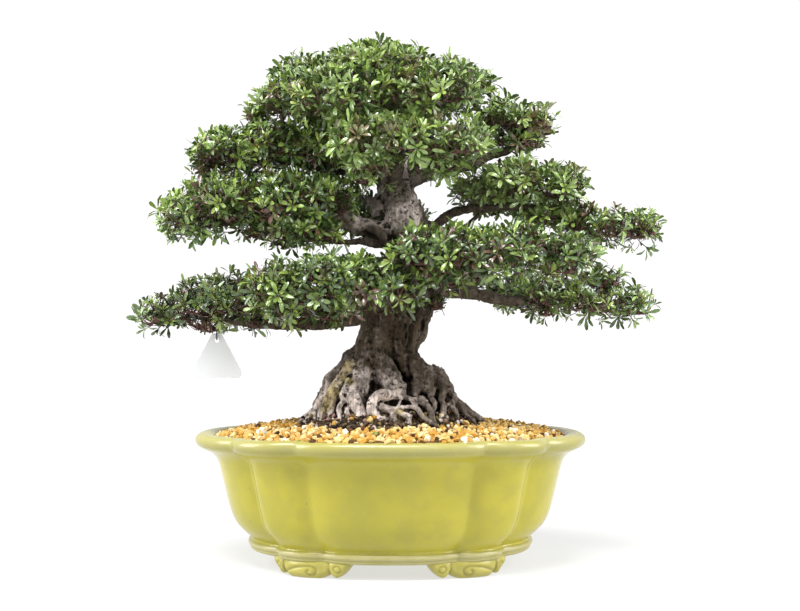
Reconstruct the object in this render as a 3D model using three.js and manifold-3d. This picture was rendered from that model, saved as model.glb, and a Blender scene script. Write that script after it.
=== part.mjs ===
// A satsuki azalea bonsai in a glazed, lobed pot on four cloud-shaped feet.
// Millimetres, +Z up. +X is to the right and -Y is the front of the tree.
// The pieces are built round the middle of the pot, with z = 0 under its feet. At the end the whole
// group is moved a few millimetres so that the origin lies under the middle of the tree's outline.
import * as THREE from "three";
import { mergeVertices } from "three/addons/utils/BufferGeometryUtils.js";
import Module from "manifold-3d";

// Driving dimensions, in millimetres
const POT_HALF_WIDTH = 250; // at the outermost line of the lip
const POT_DEPTH_SHARE = 0.76; // depth over width of every ring of the pot
const OUTLINE_POWER = 2.3; // above 2, so the plan is squarer than an ellipse
const CREASES = [-45, 45, 67.5, 112.5]; // degrees from the long axis: the lobes lie between them
const CREASE_DEPTH = 0.06; // how far the wall is pressed in at a crease, as a share
const POT_SIDES = 48; // 12 to a quarter, so that the creases fall on corners
const FOOT_HEIGHT = 19;
const FOOT_ANGLE = 56; // degrees from the long axis to the middle of a foot
const FOOT_SPREAD = 21; // degrees to either side of its middle
const FOOT_THICKNESS = 22;
const DRAIN_RADIUS = 14;
const DRAIN_X = 80;
const FLOOR_TOP = 32; // the inside floor of the pot
const SCREEN_SIZE = 44;
const SCREEN_THICKNESS = 2;
const SOIL_EDGE = 149; // height of the soil where it meets the pot
const SOIL_TOP = 165; // and of its level middle, on which the roots spread
const STUMP_DEPTH = 22; // how far the foot of the trunk stands in the soil
const GRAVEL_EDGE = 159; // height of the gravel at the pot and round the trunk
const GRAVEL_TOP = 183;
const GRAVEL_BUMP = 2.5;
const GAP = 0.35; // clearance between pieces that touch
const WHORL_RADIUS = 32; // from the middle of a leaf whorl to its leaf tips
const WHORL_STAND = 13; // how far a whorl's middle stands out from the core
const LEAVES_IN_WHORL = 6;
const SEED = 7;

const wasm = await Module();
wasm.setup();

// A closed three.js geometry as a manifold-3d solid.
function solidOf(geometry) {
  const bare = geometry.index ? geometry.toNonIndexed() : geometry.clone();
  bare.deleteAttribute("normal");
  bare.deleteAttribute("uv");
  const merged = mergeVertices(bare, 1e-4);
  return new wasm.Manifold(
    new wasm.Mesh({
      numProp: 3,
      vertProperties: merged.attributes.position.array,
      triVerts: new Uint32Array(merged.index.array),
    }),
  );
}

// A manifold-3d solid as a three.js geometry.
function geometryOf(solid) {
  const mesh = solid.getMesh();
  const geometry = new THREE.BufferGeometry();
  geometry.setAttribute("position", new THREE.BufferAttribute(new Float32Array(mesh.vertProperties), 3));
  geometry.setIndex(new THREE.BufferAttribute(new Uint32Array(mesh.triVerts), 1));
  return geometry;
}

const union = (solids) => wasm.Manifold.union(solids);

// The largest body of a solid, without the scraps that a cut leaves.
function largestBody(solid) {
  const bodies = solid.decompose();
  return bodies.reduce((best, body) => (body.volume() > best.volume() ? body : best));
}

// A seeded random draw between 0 and 1 (mulberry32).
function seededRandom(seed) {
  let state = seed >>> 0;
  return () => {
    state = (state + 0x6d2b79f5) >>> 0;
    let t = state;
    t = Math.imul(t ^ (t >>> 15), t | 1);
    t ^= t + Math.imul(t ^ (t >>> 7), t | 61);
    return ((t ^ (t >>> 14)) >>> 0) / 4294967296;
  };
}

function moveVertices(geometry, move) {
  const position = geometry.attributes.position;
  const point = new THREE.Vector3();
  for (let i = 0; i < position.count; i += 1) {
    point.fromBufferAttribute(position, i);
    move(point);
    position.setXYZ(i, point.x, point.y, point.z);
  }
  return geometry;
}

// The lobed plan of the pot: the point of the ring of that half-width at that angle.
function lobedPoint(halfWidth, angle) {
  const quarter = Math.PI / 2;
  const fromLong = THREE.MathUtils.radToDeg(quarter - Math.abs(((angle % Math.PI) + Math.PI) % Math.PI - quarter));
  const next = CREASES.findIndex((crease) => crease > fromLong);
  const [left, right] = [CREASES[next - 1], CREASES[next]];
  const offMiddle = Math.abs(2 * fromLong - left - right) / (right - left); // 1 at a crease
  const reach = halfWidth * (1 - CREASE_DEPTH * offMiddle ** 4);
  const round = (value) => Math.sign(value) * Math.abs(value) ** (2 / OUTLINE_POWER);
  return [reach * round(Math.cos(angle)), reach * POT_DEPTH_SHARE * round(Math.sin(angle))];
}

// A lathe of (half-width, height) pairs whose rings follow the lobed plan.
function lobedLathe(profile, sides = POT_SIDES) {
  const lathe = new THREE.LatheGeometry(
    profile.map(([halfWidth, z]) => new THREE.Vector2(halfWidth, z)),
    sides,
  );
  // The lathe turns about +Y: radius and angle are read there, and its height becomes z.
  moveVertices(lathe, (p) => {
    const halfWidth = Math.hypot(p.x, p.z);
    const step = (2 * Math.PI) / sides;
    const angle = Math.round(Math.atan2(-p.z, p.x) / step) * step;
    const [x, y] = halfWidth < 1e-3 ? [0, 0] : lobedPoint(halfWidth, angle);
    p.set(x, y, p.y);
  });
  return lathe;
}

// Pot

const OUTER_PROFILE = [
  [0, FOOT_HEIGHT],
  [176, FOOT_HEIGHT],
  [182, 27], // the band round the base
  [178, 34],
  [198, 54],
  [212, 98],
  [221, 130], // the hollow under the lip
  [237, 147],
  [POT_HALF_WIDTH, 159], // the rounded lip
  [240, 168],
];
const INNER_PROFILE = [
  [223, 163],
  [196, 65],
  [162, FLOOR_TOP],
  [0, FLOOR_TOP],
];

// The widest that a filling can be at a height against the sloping inner wall
const fillingAt = (z) => THREE.MathUtils.mapLinear(z, 65, 163, 196, 223) - GAP;

// One foot: a curved block under the base band whose lower edge is cut into a tongue and two scrolls.
function potFoot(middleDegrees) {
  const along = 12;
  const foot = new THREE.BoxGeometry(2, 1, 1, along, 1, 1); // x along the foot, y through it, z up
  const lowerEdge = (s) => {
    const side = Math.abs(s);
    if (side < 0.5) return 0;
    if (side < 0.7) return 7; // the notch between tongue and scroll
    if (side < 0.95) return 2;
    return 9;
  };
  const topHalfWidth = 176;
  moveVertices(foot, (p) => {
    const angle = THREE.MathUtils.degToRad(middleDegrees + FOOT_SPREAD * p.x);
    const [x, y] = lobedPoint(topHalfWidth - (p.y > 0 ? FOOT_THICKNESS : 0), angle);
    const low = p.z < 0;
    const narrowed = low ? 0.985 : 1; // the foot leans in a little towards the table
    p.set(x * narrowed, y * narrowed, low ? lowerEdge(p.x) : FOOT_HEIGHT + 4);
  });
  return foot;
}

function turnedRightWayOut(geometry) {
  const solid = solidOf(geometry);
  if (solid.volume() > 0) return solid;
  const flipped = geometry.index.clone();
  for (let i = 0; i < flipped.count; i += 3) {
    const second = flipped.getX(i + 1);
    flipped.setX(i + 1, flipped.getX(i + 2));
    flipped.setX(i + 2, second);
  }
  return solidOf(geometry.clone().setIndex(flipped));
}

function potSolid() {
  const bowl = turnedRightWayOut(lobedLathe([...OUTER_PROFILE, ...INNER_PROFILE]));
  const feet = [FOOT_ANGLE, 180 - FOOT_ANGLE, 180 + FOOT_ANGLE, 360 - FOOT_ANGLE].map((middle) =>
    turnedRightWayOut(potFoot(middle)),
  );
  const drains = [-DRAIN_X, DRAIN_X].map((x) => {
    const drill = new THREE.CylinderGeometry(DRAIN_RADIUS, DRAIN_RADIUS, 40, 14);
    drill.rotateX(Math.PI / 2).translate(x, 0, FLOOR_TOP - 10);
    return solidOf(drill);
  });
  return union([bowl, ...feet]).subtract(union(drains));
}

// A piece of drain mesh that lies over a drain hole, under the soil.
function drainScreen(x) {
  const screen = new THREE.BoxGeometry(SCREEN_SIZE, SCREEN_SIZE, SCREEN_THICKNESS);
  screen.translate(x, 0, FLOOR_TOP + GAP + SCREEN_THICKNESS / 2);
  let plate = solidOf(screen);
  const hole = 14;
  const pitch = 9;
  for (const i of [-1, 1]) {
    for (const j of [-1, 1]) {
      const window = new THREE.BoxGeometry(hole, hole, 3 * SCREEN_THICKNESS);
      window.translate(x + i * pitch, j * pitch, FLOOR_TOP + GAP + SCREEN_THICKNESS / 2);
      plate = plate.subtract(solidOf(window));
    }
  }
  return plate;
}

// Soil and gravel

function soilSolid(screens, tree) {
  const profile = [
    [0, FLOOR_TOP + GAP],
    [161 - GAP, FLOOR_TOP + GAP],
    [fillingAt(65), 65],
    [fillingAt(SOIL_EDGE), SOIL_EDGE],
    [140, SOIL_TOP],
    [0, SOIL_TOP],
  ];
  const bed = turnedRightWayOut(lobedLathe(profile));
  const seats = screens.map((x) => {
    const size = SCREEN_SIZE + 2 * GAP;
    const seat = new THREE.BoxGeometry(size, size, 2 * (SCREEN_THICKNESS + 2 * GAP));
    seat.translate(x, 0, FLOOR_TOP);
    return solidOf(seat);
  });
  return largestBody(bed.subtract(union(seats)).subtract(tree));
}

// A layer of gravel over the soil, its grains raised from the surface vertex by vertex.
function gravelSolid(tree) {
  const random = seededRandom(SEED);
  const height = (halfWidth) =>
    THREE.MathUtils.lerp(GRAVEL_EDGE, GRAVEL_TOP, Math.cos(((Math.PI / 2) * halfWidth) / 221) ** 0.6);
  const top = [68, 124, 184].map((halfWidth) => [halfWidth, height(halfWidth)]);
  const edge = [GRAVEL_EDGE, SOIL_EDGE + 2 * GAP].map((z) => [fillingAt(z), z]);
  const underside = [141, 66].map((halfWidth) => [halfWidth, SOIL_TOP + GAP]);
  const layer = lobedLathe([...top, ...edge, ...underside, top[0]]);
  const bumps = new Map();
  moveVertices(layer, (p) => {
    const column = `${p.x.toFixed(2)},${p.y.toFixed(2)}`;
    if (!bumps.has(column)) bumps.set(column, GRAVEL_BUMP * (2 * random() - 1));
    const halfWidth = Math.hypot(p.x, p.y / POT_DEPTH_SHARE);
    if (halfWidth < 205 && p.z > height(halfWidth) - 1) p.z += bumps.get(column);
  });
  return largestBody(turnedRightWayOut(layer).subtract(tree));
}

// The tree: trunk, surface roots and branches, one grown piece

// A tapered limb through points [x, y, z, radius], as a many-sided tube with closed ends.
function limb(points, sides, extra = 0) {
  const curve = new THREE.CatmullRomCurve3(points.map(([x, y, z]) => new THREE.Vector3(x, y, z)));
  const steps = points.length - 1;
  const tube = new THREE.CylinderGeometry(1, 1, 1, sides, steps);
  let across = new THREE.Vector3(0, 1, 0).cross(curve.getTangent(0));
  if (across.length() < 0.5) across = new THREE.Vector3(1, 0, 0).cross(curve.getTangent(0));
  const rings = points.map((point, i) => {
    const along = curve.getTangent(i / steps).normalize();
    across = across.clone().projectOnPlane(along).normalize(); // carried on from ring to ring
    const end = i === 0 ? -extra : i === steps ? extra : 0;
    const centre = new THREE.Vector3(...point.slice(0, 3)).addScaledVector(along, end);
    return { centre, across, beside: along.clone().cross(across), radius: point[3] + extra };
  });
  return turnedRightWayOut(
    moveVertices(tube, (p) => {
      const ring = rings[Math.round((p.y + 0.5) * steps)];
      const { x, z } = p;
      p.copy(ring.centre)
        .addScaledVector(ring.across, x * ring.radius)
        .addScaledVector(ring.beside, z * ring.radius);
    }),
  );
}

const STEMS = {
  front: [
    [-10, 16, SOIL_TOP - STUMP_DEPTH, 42], [-10, 14, 200, 40], [-14, 6, 236, 36], [-21, -6, 260, 31], [-17, -6, 281, 30],
    [-11, -4, 304, 32], [-4, 0, 330, 33], [12, 2, 365, 33], [20, 0, 390, 30], [24, 0, 412, 28], [18, -2, 440, 30],
    [9, 0, 468, 26], [4, 2, 492, 25], [1, 4, 518, 22], [-6, 5, 550, 17], [-14, 6, 586, 12], [-20, 8, 622, 7],
  ],
  right: [
    [38, 24, SOIL_TOP - STUMP_DEPTH, 42], [34, 22, 205, 38], [22, 16, 250, 29], [18, 8, 280, 25], [26, 4, 306, 26],
    [32, 0, 336, 26], [34, 0, 364, 23], [34, 0, 396, 16],
  ],
  strand_middle: [[10, -14, 342, 13], [10, -18, 296, 12], [14, -16, 266, 10], [25, -14, 240, 9]],
  strand_right: [[25, -10, 342, 14], [29, -13, 300, 12], [26, -11, 266, 11], [37, -12, 250, 10]],
  strand_edge: [[41, -2, 342, 14], [41, -4, 300, 12], [28, -4, 270, 10]],
};

const ROOTS = {
  far_left: [[-48, -6, 268, 13], [-69, -18, 242, 12], [-83, -30, 218, 10], [-93, -40, 198, 8], [-98, -46, 160, 6]],
  left_ridge: [[-46, -26, 258, 13], [-66, -46, 227, 11], [-80, -57, 203, 9], [-86, -64, 160, 6]],
  left_leg: [[-30, -20, 258, 18], [-38, -40, 238, 15], [-44, -58, 216, 13], [-38, -74, 194, 10], [-30, -84, 160, 8]],
  left_finger: [[-50, -50, 237, 6], [-60, -66, 214, 5], [-64, -78, 160, 4]],
  left_heel: [[-46, -60, 214, 8], [-48, -74, 199, 7], [-47, -86, 160, 6]],
  shield: [[-19, -16, 262, 22], [-2, -36, 238, 18], [8, -46, 227, 14], [17, -54, 221, 8]],
  loop: [[17, -56, 221, 8], [1, -67, 218, 9], [-18, -75, 212, 9], [-22, -79, 202, 9], [-16, -84, 187, 8], [-14, -90, 160, 7]],
  right_knee: [[12, -54, 222, 7], [27, -66, 216, 6], [42, -75, 205, 6], [52, -84, 188, 6], [54, -88, 160, 5]],
  right_crossing: [[8, -72, 203, 5], [28, -77, 205, 5], [47, -87, 188, 6], [64, -94, 160, 5]],
  right_front: [[25, -12, 262, 12], [39, -26, 246, 12], [54, -44, 220, 11], [68, -57, 198, 8], [82, -66, 160, 6]],
  right_middle: [[45, -18, 244, 10], [67, -40, 218, 8], [82, -50, 198, 6], [92, -56, 160, 5]],
  right_ridge: [[29, -4, 273, 12], [43, -9, 251, 13], [67, -21, 229, 12], [84, -33, 205, 10], [118, -42, 160, 7]],
  back_right: [[16, 14, 280, 18], [52, 48, 228, 21], [94, 86, 160, 10]],
  back_far_right: [[24, 6, 268, 15], [66, 26, 214, 15], [112, 42, 160, 10]],
  right_side: [[18, 4, 262, 15], [56, 8, 226, 15], [92, 10, 190, 12], [116, 12, 160, 9]],
  back_middle: [[-4, 18, 286, 20], [-10, 62, 226, 20], [-18, 100, 160, 11]],
  back_left: [[-22, 12, 284, 20], [-58, 52, 224, 20], [-88, 84, 160, 11]],
  back_far_left: [[-28, 4, 276, 18], [-74, 24, 220, 16], [-112, 38, 160, 11]],
  left_side: [[-20, 0, 264, 18], [-54, 2, 222, 17], [-88, 2, 186, 13], [-104, 2, 160, 10]],
};

const BRANCHES = {
  left_lower: [[-8, 0, 326, 15], [-50, -6, 314, 12], [-105, -11, 309, 9], [-178, -14, 311, 7], [-246, -14, 316, 5]],
  left_middle: [[8, -4, 425, 17], [-50, -20, 436, 13], [-84, -26, 441, 10], [-160, -30, 436, 7], [-230, -30, 434, 5]],
  left_upper: [[0, 4, 494, 12], [-62, 8, 506, 7], [-136, 10, 520, 5], [-200, 10, 521, 4]],
  right_upper: [[2, 0, 486, 15], [38, -4, 500, 10], [103, -4, 513, 8], [150, 4, 531, 6], [193, 6, 552, 4]],
  right_middle: [[18, 0, 418, 14], [52, 0, 434, 9], [84, 0, 453, 7], [157, 0, 459, 6], [221, 0, 451, 5], [290, 0, 431, 4]],
  right_lower: [[14, -2, 362, 18], [60, -10, 364, 13], [96, -16, 352, 11], [150, -16, 337, 9], [190, -4, 338, 7], [256, 2, 336, 5]],
  front_lower_left: [[4, -10, 345, 13], [-24, -70, 350, 8], [-84, -94, 350, 5]],
  front_lower_right: [[18, -10, 366, 13], [44, -72, 384, 8], [140, -92, 388, 5]],
  front_middle: [[6, -6, 470, 12], [8, -60, 506, 8], [22, -88, 520, 5]],
  back_lower: [[12, 12, 352, 13], [10, 78, 362, 9], [-24, 128, 366, 6]],
  back_lower_left: [[4, 44, 354, 8], [-80, 92, 340, 6], [-140, 110, 338, 4]],
  back_lower_right: [[10, 50, 356, 8], [100, 92, 346, 6], [168, 112, 346, 4]],
  back_middle: [[12, 8, 420, 12], [-6, 74, 440, 8], [-34, 118, 446, 5]],
  back_middle_left: [[-2, 60, 436, 7], [-100, 84, 462, 5], [-168, 98, 466, 4]],
  back_middle_right: [[10, 34, 440, 8], [84, 80, 462, 6], [136, 106, 472, 4]],
  back_upper: [[4, 6, 500, 11], [10, 74, 524, 7], [8, 102, 530, 5]],
};

function treeSolid(extra = 0) {
  const stems = Object.values(STEMS).map((points) => limb(points, 9, extra));
  const roots = Object.values(ROOTS).map((points) => limb(points, points[0][3] > 9 ? 6 : 5, extra));
  const branches = Object.values(BRANCHES).map((points) => limb(points, 5, extra));
  const rootsOnSoil = union(roots).trimByPlane([0, 0, 1], SOIL_TOP + GAP - extra);
  return union([...stems, rootsOnSoil, ...branches]);
}

// Leaf sprays: each is a twiggy core of a few flattened clumps, covered with whorls of leaves

// Clumps are [x, y, z, half-width, half-depth, half-height].
const SPRAYS = {
  crown: [
    [-18, 0, 624, 80, 84, 38], [-104, 0, 606, 54, 72, 34], [-142, -2, 593, 30, 48, 21], [62, 0, 612, 54, 68, 32],
    [-58, -78, 591, 70, 38, 25], [48, -72, 594, 60, 36, 24], [-24, 84, 604, 100, 44, 28],
  ],
  left_upper: [[-94, 10, 530, 38, 60, 27], [-152, 10, 535, 42, 60, 27], [-214, 8, 528, 38, 50, 25]],
  left_middle: [[-84, -30, 462, 38, 54, 27], [-142, -30, 460, 48, 62, 33], [-206, -30, 452, 46, 58, 32], [-254, -30, 441, 37, 44, 26]],
  left_lower: [[-200, -14, 333, 40, 52, 28], [-242, -14, 328, 38, 48, 26], [-282, -14, 319, 30, 34, 20]],
  front_lower_left: [[-124, -96, 345, 44, 42, 31], [-78, -98, 353, 42, 44, 32], [-34, -98, 354, 36, 40, 27], [10, -100, 346, 28, 36, 22]],
  front_lower_right: [[34, -98, 392, 32, 38, 23], [86, -98, 389, 42, 42, 29], [146, -96, 393, 46, 44, 30], [208, -94, 384, 42, 38, 27]],
  right_middle: [[114, 0, 478, 30, 48, 20], [160, 0, 488, 44, 60, 26], [206, 0, 480, 34, 46, 23]],
  right_far: [[240, 0, 438, 28, 40, 18], [274, 0, 432, 30, 40, 20], [308, 0, 428, 24, 30, 17]],
  right_lower: [[202, 8, 340, 40, 46, 19], [250, 4, 339, 40, 48, 24], [288, 0, 333, 30, 34, 20]],
  front_middle: [[-32, -92, 526, 40, 40, 26], [20, -94, 532, 42, 42, 26], [80, -90, 528, 44, 40, 25]],
  right_upper: [[150, 6, 574, 36, 44, 21], [192, 8, 567, 27, 34, 17]],
  back_lower: [[-50, 142, 370, 52, 42, 24], [34, 138, 378, 44, 42, 25], [100, 140, 372, 36, 34, 20]],
  back_middle: [[-104, 128, 448, 42, 38, 20], [-44, 130, 458, 46, 42, 22], [12, 130, 456, 30, 34, 18]],
  back_upper: [[-60, 112, 534, 48, 38, 20], [14, 116, 540, 44, 42, 22], [78, 108, 534, 34, 34, 17]],
  back_left_middle: [[-188, 106, 472, 44, 42, 22]],
  back_right_middle: [[154, 118, 478, 46, 42, 22]],
  back_left_lower: [[-156, 114, 342, 46, 44, 22]],
  back_right_lower: [[186, 120, 350, 46, 44, 22]],
};

// A whorl of leaves over a point: its hub, then for each leaf the notch before it and its tip.
function whorlPoints(hub, axis, towards, random) {
  const side = towards.clone().sub(hub).projectOnPlane(axis).normalize();
  const beside = axis.clone().cross(side);
  const at = (r, angle, z) =>
    hub.clone().addScaledVector(side, r * Math.cos(angle)).addScaledVector(beside, r * Math.sin(angle)).addScaledVector(axis, z);
  const share = (2 * Math.PI) / LEAVES_IN_WHORL;
  const points = [at(0, 0, 5)];
  for (let leaf = 0; leaf < LEAVES_IN_WHORL; leaf += 1) {
    const long = WHORL_RADIUS * (0.75 + 0.25 * random());
    points.push(at(0.3 * WHORL_RADIUS, share * leaf, -1));
    points.push(at(long, share * (leaf + 0.5 + 0.3 * (random() - 0.5)), 1 + 13 * random()));
  }
  return points;
}

// The upper and lower faces of each leaf, as triples of a whorl's points.
const LEAF_FACES = Array.from({ length: LEAVES_IN_WHORL }, (_, leaf) => {
  const [notch, tip, next] = [1 + 2 * leaf, 2 + 2 * leaf, 1 + ((2 * leaf + 2) % (2 * LEAVES_IN_WHORL))];
  return [[0, notch, tip], [0, tip, next], [tip, notch, next]];
}).flat();

// The twig below a whorl widens to the three corners of the core's face that it grows from.
const twigFaces = (corners, first) =>
  corners.flatMap((corner, i) => {
    const next = corners[(i + 1) % 3];
    const [near, middle, far] = [4 * i + 1, 4 * i + 3, (4 * i + 5) % 12].map((notch) => first + notch);
    return [[corner, next, middle], [corner, middle, near], [next, far, middle]];
  });

function meshSolid(points, faces) {
  const geometry = new THREE.BufferGeometry().setFromPoints(points);
  return solidOf(geometry.setIndex(faces.flat()));
}

const blockOfWhorl = (points) =>
  meshSolid(points, [...LEAF_FACES, [1, 5, 3], [5, 9, 7], [9, 1, 11], [1, 9, 5]]);

// How far out a point is from the middle of a clump: under 1 is inside it.
const clumpShare = (point, [x, y, z, halfWidth, halfDepth, halfHeight]) =>
  Math.hypot((point.x - x) / halfWidth, (point.y - y) / halfDepth, (point.z - z) / halfHeight);

// The corners and faces of a clump's core: an uneven, flattened ball of twenty faces.
function coreOf([x, y, z, halfWidth, halfDepth, halfHeight], random) {
  const ball = new THREE.IcosahedronGeometry(1, 0).rotateX(0.36).rotateZ(2 * Math.PI * random());
  ball.deleteAttribute("normal");
  ball.deleteAttribute("uv");
  const merged = mergeVertices(ball, 1e-4);
  const points = Array.from({ length: merged.attributes.position.count }, (_, i) => {
    const p = new THREE.Vector3().fromBufferAttribute(merged.attributes.position, i);
    p.multiplyScalar(0.86 + 0.2 * random());
    return new THREE.Vector3(x + p.x * halfWidth, y + p.y * halfDepth, z + p.z * halfHeight);
  });
  const corners = Array.from(merged.index.array);
  const faces = Array.from({ length: corners.length / 3 }, (_, i) => corners.slice(3 * i, 3 * i + 3));
  return { points, faces };
}

// All the leaf sprays, by name. Out of most faces of a core grows a whorl that is clear of every
// other whorl and of the cores of the sprays beside it.
function spraySolids(tree, keepClear) {
  const random = seededRandom(SEED);
  const names = Object.keys(SPRAYS);
  const cores = names.map((name) => SPRAYS[name].map((clump) => coreOf(clump, random)));
  const coreSolids = cores.map((clumps) => union(clumps.map(({ points, faces }) => meshSolid(points, faces))));
  const grown = [];
  const clumpSolid = (clump, core, spray, beside) => {
    const points = [...core.points];
    const faces = [];
    core.faces.forEach((corners) => {
      const triangle = new THREE.Triangle(...corners.map((corner) => core.points[corner]));
      const axis = triangle.getNormal(new THREE.Vector3());
      const foot = triangle.getMidpoint(new THREE.Vector3());
      const hub = foot.clone().addScaledVector(axis, WHORL_STAND);
      axis.add(new THREE.Vector3(0.5 * (random() - 0.5), 0.5 * (random() - 0.5), 0.6 * random())).normalize();
      const whorl = whorlPoints(hub, axis, triangle.a, random);
      const block = blockOfWhorl(whorl);
      const near = grown.filter((other) => other.hub.distanceTo(hub) < 2.2 * WHORL_RADIUS);
      const below = foot.z < clump[2] - 0.35 * clump[5];
      const covered = spray.some((other) => other !== clump && clumpShare(hub, other) < 1.1);
      if (below || covered || block.minGap(beside, 1) < 0.8 || near.some((other) => other.block.minGap(block, 1) < 0.4)) {
        faces.push(corners);
        return;
      }
      grown.push({ hub, block });
      const first = points.length;
      points.push(...whorl);
      faces.push(...LEAF_FACES.map((face) => face.map((point) => first + point)), ...twigFaces(corners, first));
    });
    return meshSolid(points, faces);
  };
  return names.map((name, i) => {
    const spray = SPRAYS[name];
    const beside = union([keepClear, ...coreSolids.filter((_, other) => other !== i)]);
    const clumps = spray.map((clump, c) => clumpSolid(clump, cores[i][c], spray, beside));
    return [name, largestBody(union(clumps).subtract(tree).subtract(keepClear))];
  });
}

// Hang tag: a blank card on a short cord from the lowest left branch

const TAG = { x: -222, y: -25, holeZ: 285, width: 63, height: 57, thickness: 1.2, corner: 8, cord: 0.9 };

function tagSolid() {
  const half = TAG.width / 2;
  const [top, low] = [9, 9 - TAG.height];
  const outline = new THREE.Shape();
  outline.moveTo(6, top).lineTo(half, low + TAG.corner);
  outline.quadraticCurveTo(half, low, half - TAG.corner, low).lineTo(TAG.corner - half, low);
  outline.quadraticCurveTo(-half, low, -half, low + TAG.corner).lineTo(-6, top);
  outline.holes.push(new THREE.Path().absarc(0, 0, 3, 0, 2 * Math.PI, false));
  const card = new THREE.ExtrudeGeometry(outline, { depth: TAG.thickness, bevelEnabled: false, curveSegments: 4 });
  card.rotateX(Math.PI / 2).translate(TAG.x, TAG.y + TAG.thickness / 2, TAG.holeZ);
  return turnedRightWayOut(card);
}

// The cord runs from the front of the branch down through the tag's hole, and the tag hangs on it.
function cordSolid(extra = 0) {
  const route = [[1, 6, 33], [0.6, 2, 20], [0, -2, 7], [0, -2, 2], [0, 0, 1.7], [0, 2.4, 1.2]];
  const points = route.map(([x, y, z]) => new THREE.Vector3(TAG.x + x, TAG.y + y, TAG.holeZ + z));
  const section = new THREE.Shape().absarc(0, 0, TAG.cord + extra, 0, 2 * Math.PI, false);
  const along = { steps: 12, extrudePath: new THREE.CatmullRomCurve3(points), curveSegments: 4, bevelEnabled: false };
  return turnedRightWayOut(new THREE.ExtrudeGeometry(section, along));
}

// Materials

const finish = (color, roughness) => new THREE.MeshStandardMaterial({ color, roughness, metalness: 0 });
const GLAZE = finish(0xc9c455, 0.2);
const BARK = finish(0x6f6257, 0.9);
const LEAF = finish(0x3f6b2c, 0.45);
const SOIL = finish(0x3a2c20, 1);
const GRAVEL = finish(0xdcab5c, 0.95);
const MESH = finish(0x22262a, 0.6);
const CARD = finish(0xf4f4f2, 0.6);
const STRING = finish(0x2b2622, 0.8);

function piece(name, solid, material) {
  const mesh = new THREE.Mesh(geometryOf(solid), material);
  mesh.name = name;
  return mesh;
}

const bonsai = new THREE.Group();
const tree = treeSolid();
const grownTree = treeSolid(GAP);
const tag = tagSolid();
bonsai.add(piece("pot", potSolid(), GLAZE));
bonsai.add(piece("drain_screen_left", drainScreen(-DRAIN_X), MESH));
bonsai.add(piece("drain_screen_right", drainScreen(DRAIN_X), MESH));
bonsai.add(piece("soil", soilSolid([-DRAIN_X, DRAIN_X], grownTree), SOIL));
bonsai.add(piece("gravel", gravelSolid(grownTree), GRAVEL));
bonsai.add(piece("tree", tree, BARK));
spraySolids(grownTree, union([cordSolid(GAP), tag])).forEach(([name, spray]) => {
  bonsai.add(piece(`leaves_${name}`, spray, LEAF));
});
bonsai.add(piece("label_tag", tag, CARD));
bonsai.add(piece("label_cord", largestBody(cordSolid().subtract(grownTree)), STRING));

// The origin lies under the middle of the outline, on the surface that the feet stand on.
const outline = new THREE.Box3().setFromObject(bonsai).getCenter(new THREE.Vector3());
bonsai.children.forEach((mesh) => mesh.position.set(-outline.x, -outline.y, 0));

export default bonsai;
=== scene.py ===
# %% [markdown]
# # An azalea bonsai in a glazed pot
# The tree stands in a lobed pot of yellow glaze, with pale orange grains over its soil, and carries
# its small leaves in tiers of flat pads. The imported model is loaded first: it says where each piece
# is, in metres, and every piece below is dressed or rebuilt in that same place.

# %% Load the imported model
import math
import random
import bmesh
import bpy
import numpy as np
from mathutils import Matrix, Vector, kdtree, noise


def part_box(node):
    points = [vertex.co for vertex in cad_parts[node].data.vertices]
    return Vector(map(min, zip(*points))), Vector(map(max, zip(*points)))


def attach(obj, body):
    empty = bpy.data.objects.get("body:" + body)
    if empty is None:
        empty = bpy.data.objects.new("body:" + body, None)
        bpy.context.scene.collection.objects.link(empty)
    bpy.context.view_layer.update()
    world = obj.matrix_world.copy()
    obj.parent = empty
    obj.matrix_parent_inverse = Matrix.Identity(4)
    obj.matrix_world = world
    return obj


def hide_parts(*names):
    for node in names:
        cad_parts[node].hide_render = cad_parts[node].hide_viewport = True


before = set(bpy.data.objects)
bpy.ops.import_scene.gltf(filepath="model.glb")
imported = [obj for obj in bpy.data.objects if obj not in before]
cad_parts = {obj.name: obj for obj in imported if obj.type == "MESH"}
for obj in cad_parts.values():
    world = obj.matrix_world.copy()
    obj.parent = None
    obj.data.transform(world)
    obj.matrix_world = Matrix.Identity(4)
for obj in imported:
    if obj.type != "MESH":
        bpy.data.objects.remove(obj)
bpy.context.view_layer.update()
pot_low, pot_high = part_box("pot")
POT_MIDDLE = np.array([(pot_low[0] + pot_high[0]) / 2, (pot_low[1] + pot_high[1]) / 2, 0.0])

# %% [markdown]
# ## The camera
# The tree is seen from the front at the height of the trunk's waist, from a little over a metre and a
# half, so the rim of the pot shows as a thin ellipse. The lens and the tilt are set once, here.

# %% Camera
def put_in_scene(name, data):
    """A new object with this data."""
    thing = bpy.data.objects.new(name, data)
    bpy.context.scene.collection.objects.link(thing)
    return thing


lens = bpy.data.cameras.new("camera")
lens.sensor_width, lens.lens = 36.0, 55.4
camera = put_in_scene("camera", lens)
camera.location = (POT_MIDDLE[0] + 0.0122, POT_MIDDLE[1] - 1.5998, 0.292)
camera.rotation_euler = (math.radians(91.37), 0.0, 0.0)
bpy.context.scene.camera = camera
bpy.context.scene.view_settings.view_transform = "Standard"

# %% [markdown]
# ## A wire that can be added and multiplied
# A material or a Geometry Nodes tree is a net of sockets. Wrapping a socket in a small class gives it
# plus, minus and times, so that a formula reads as a formula, and one method makes every other node:
# its settings come first, because they decide which sockets it has.

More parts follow.
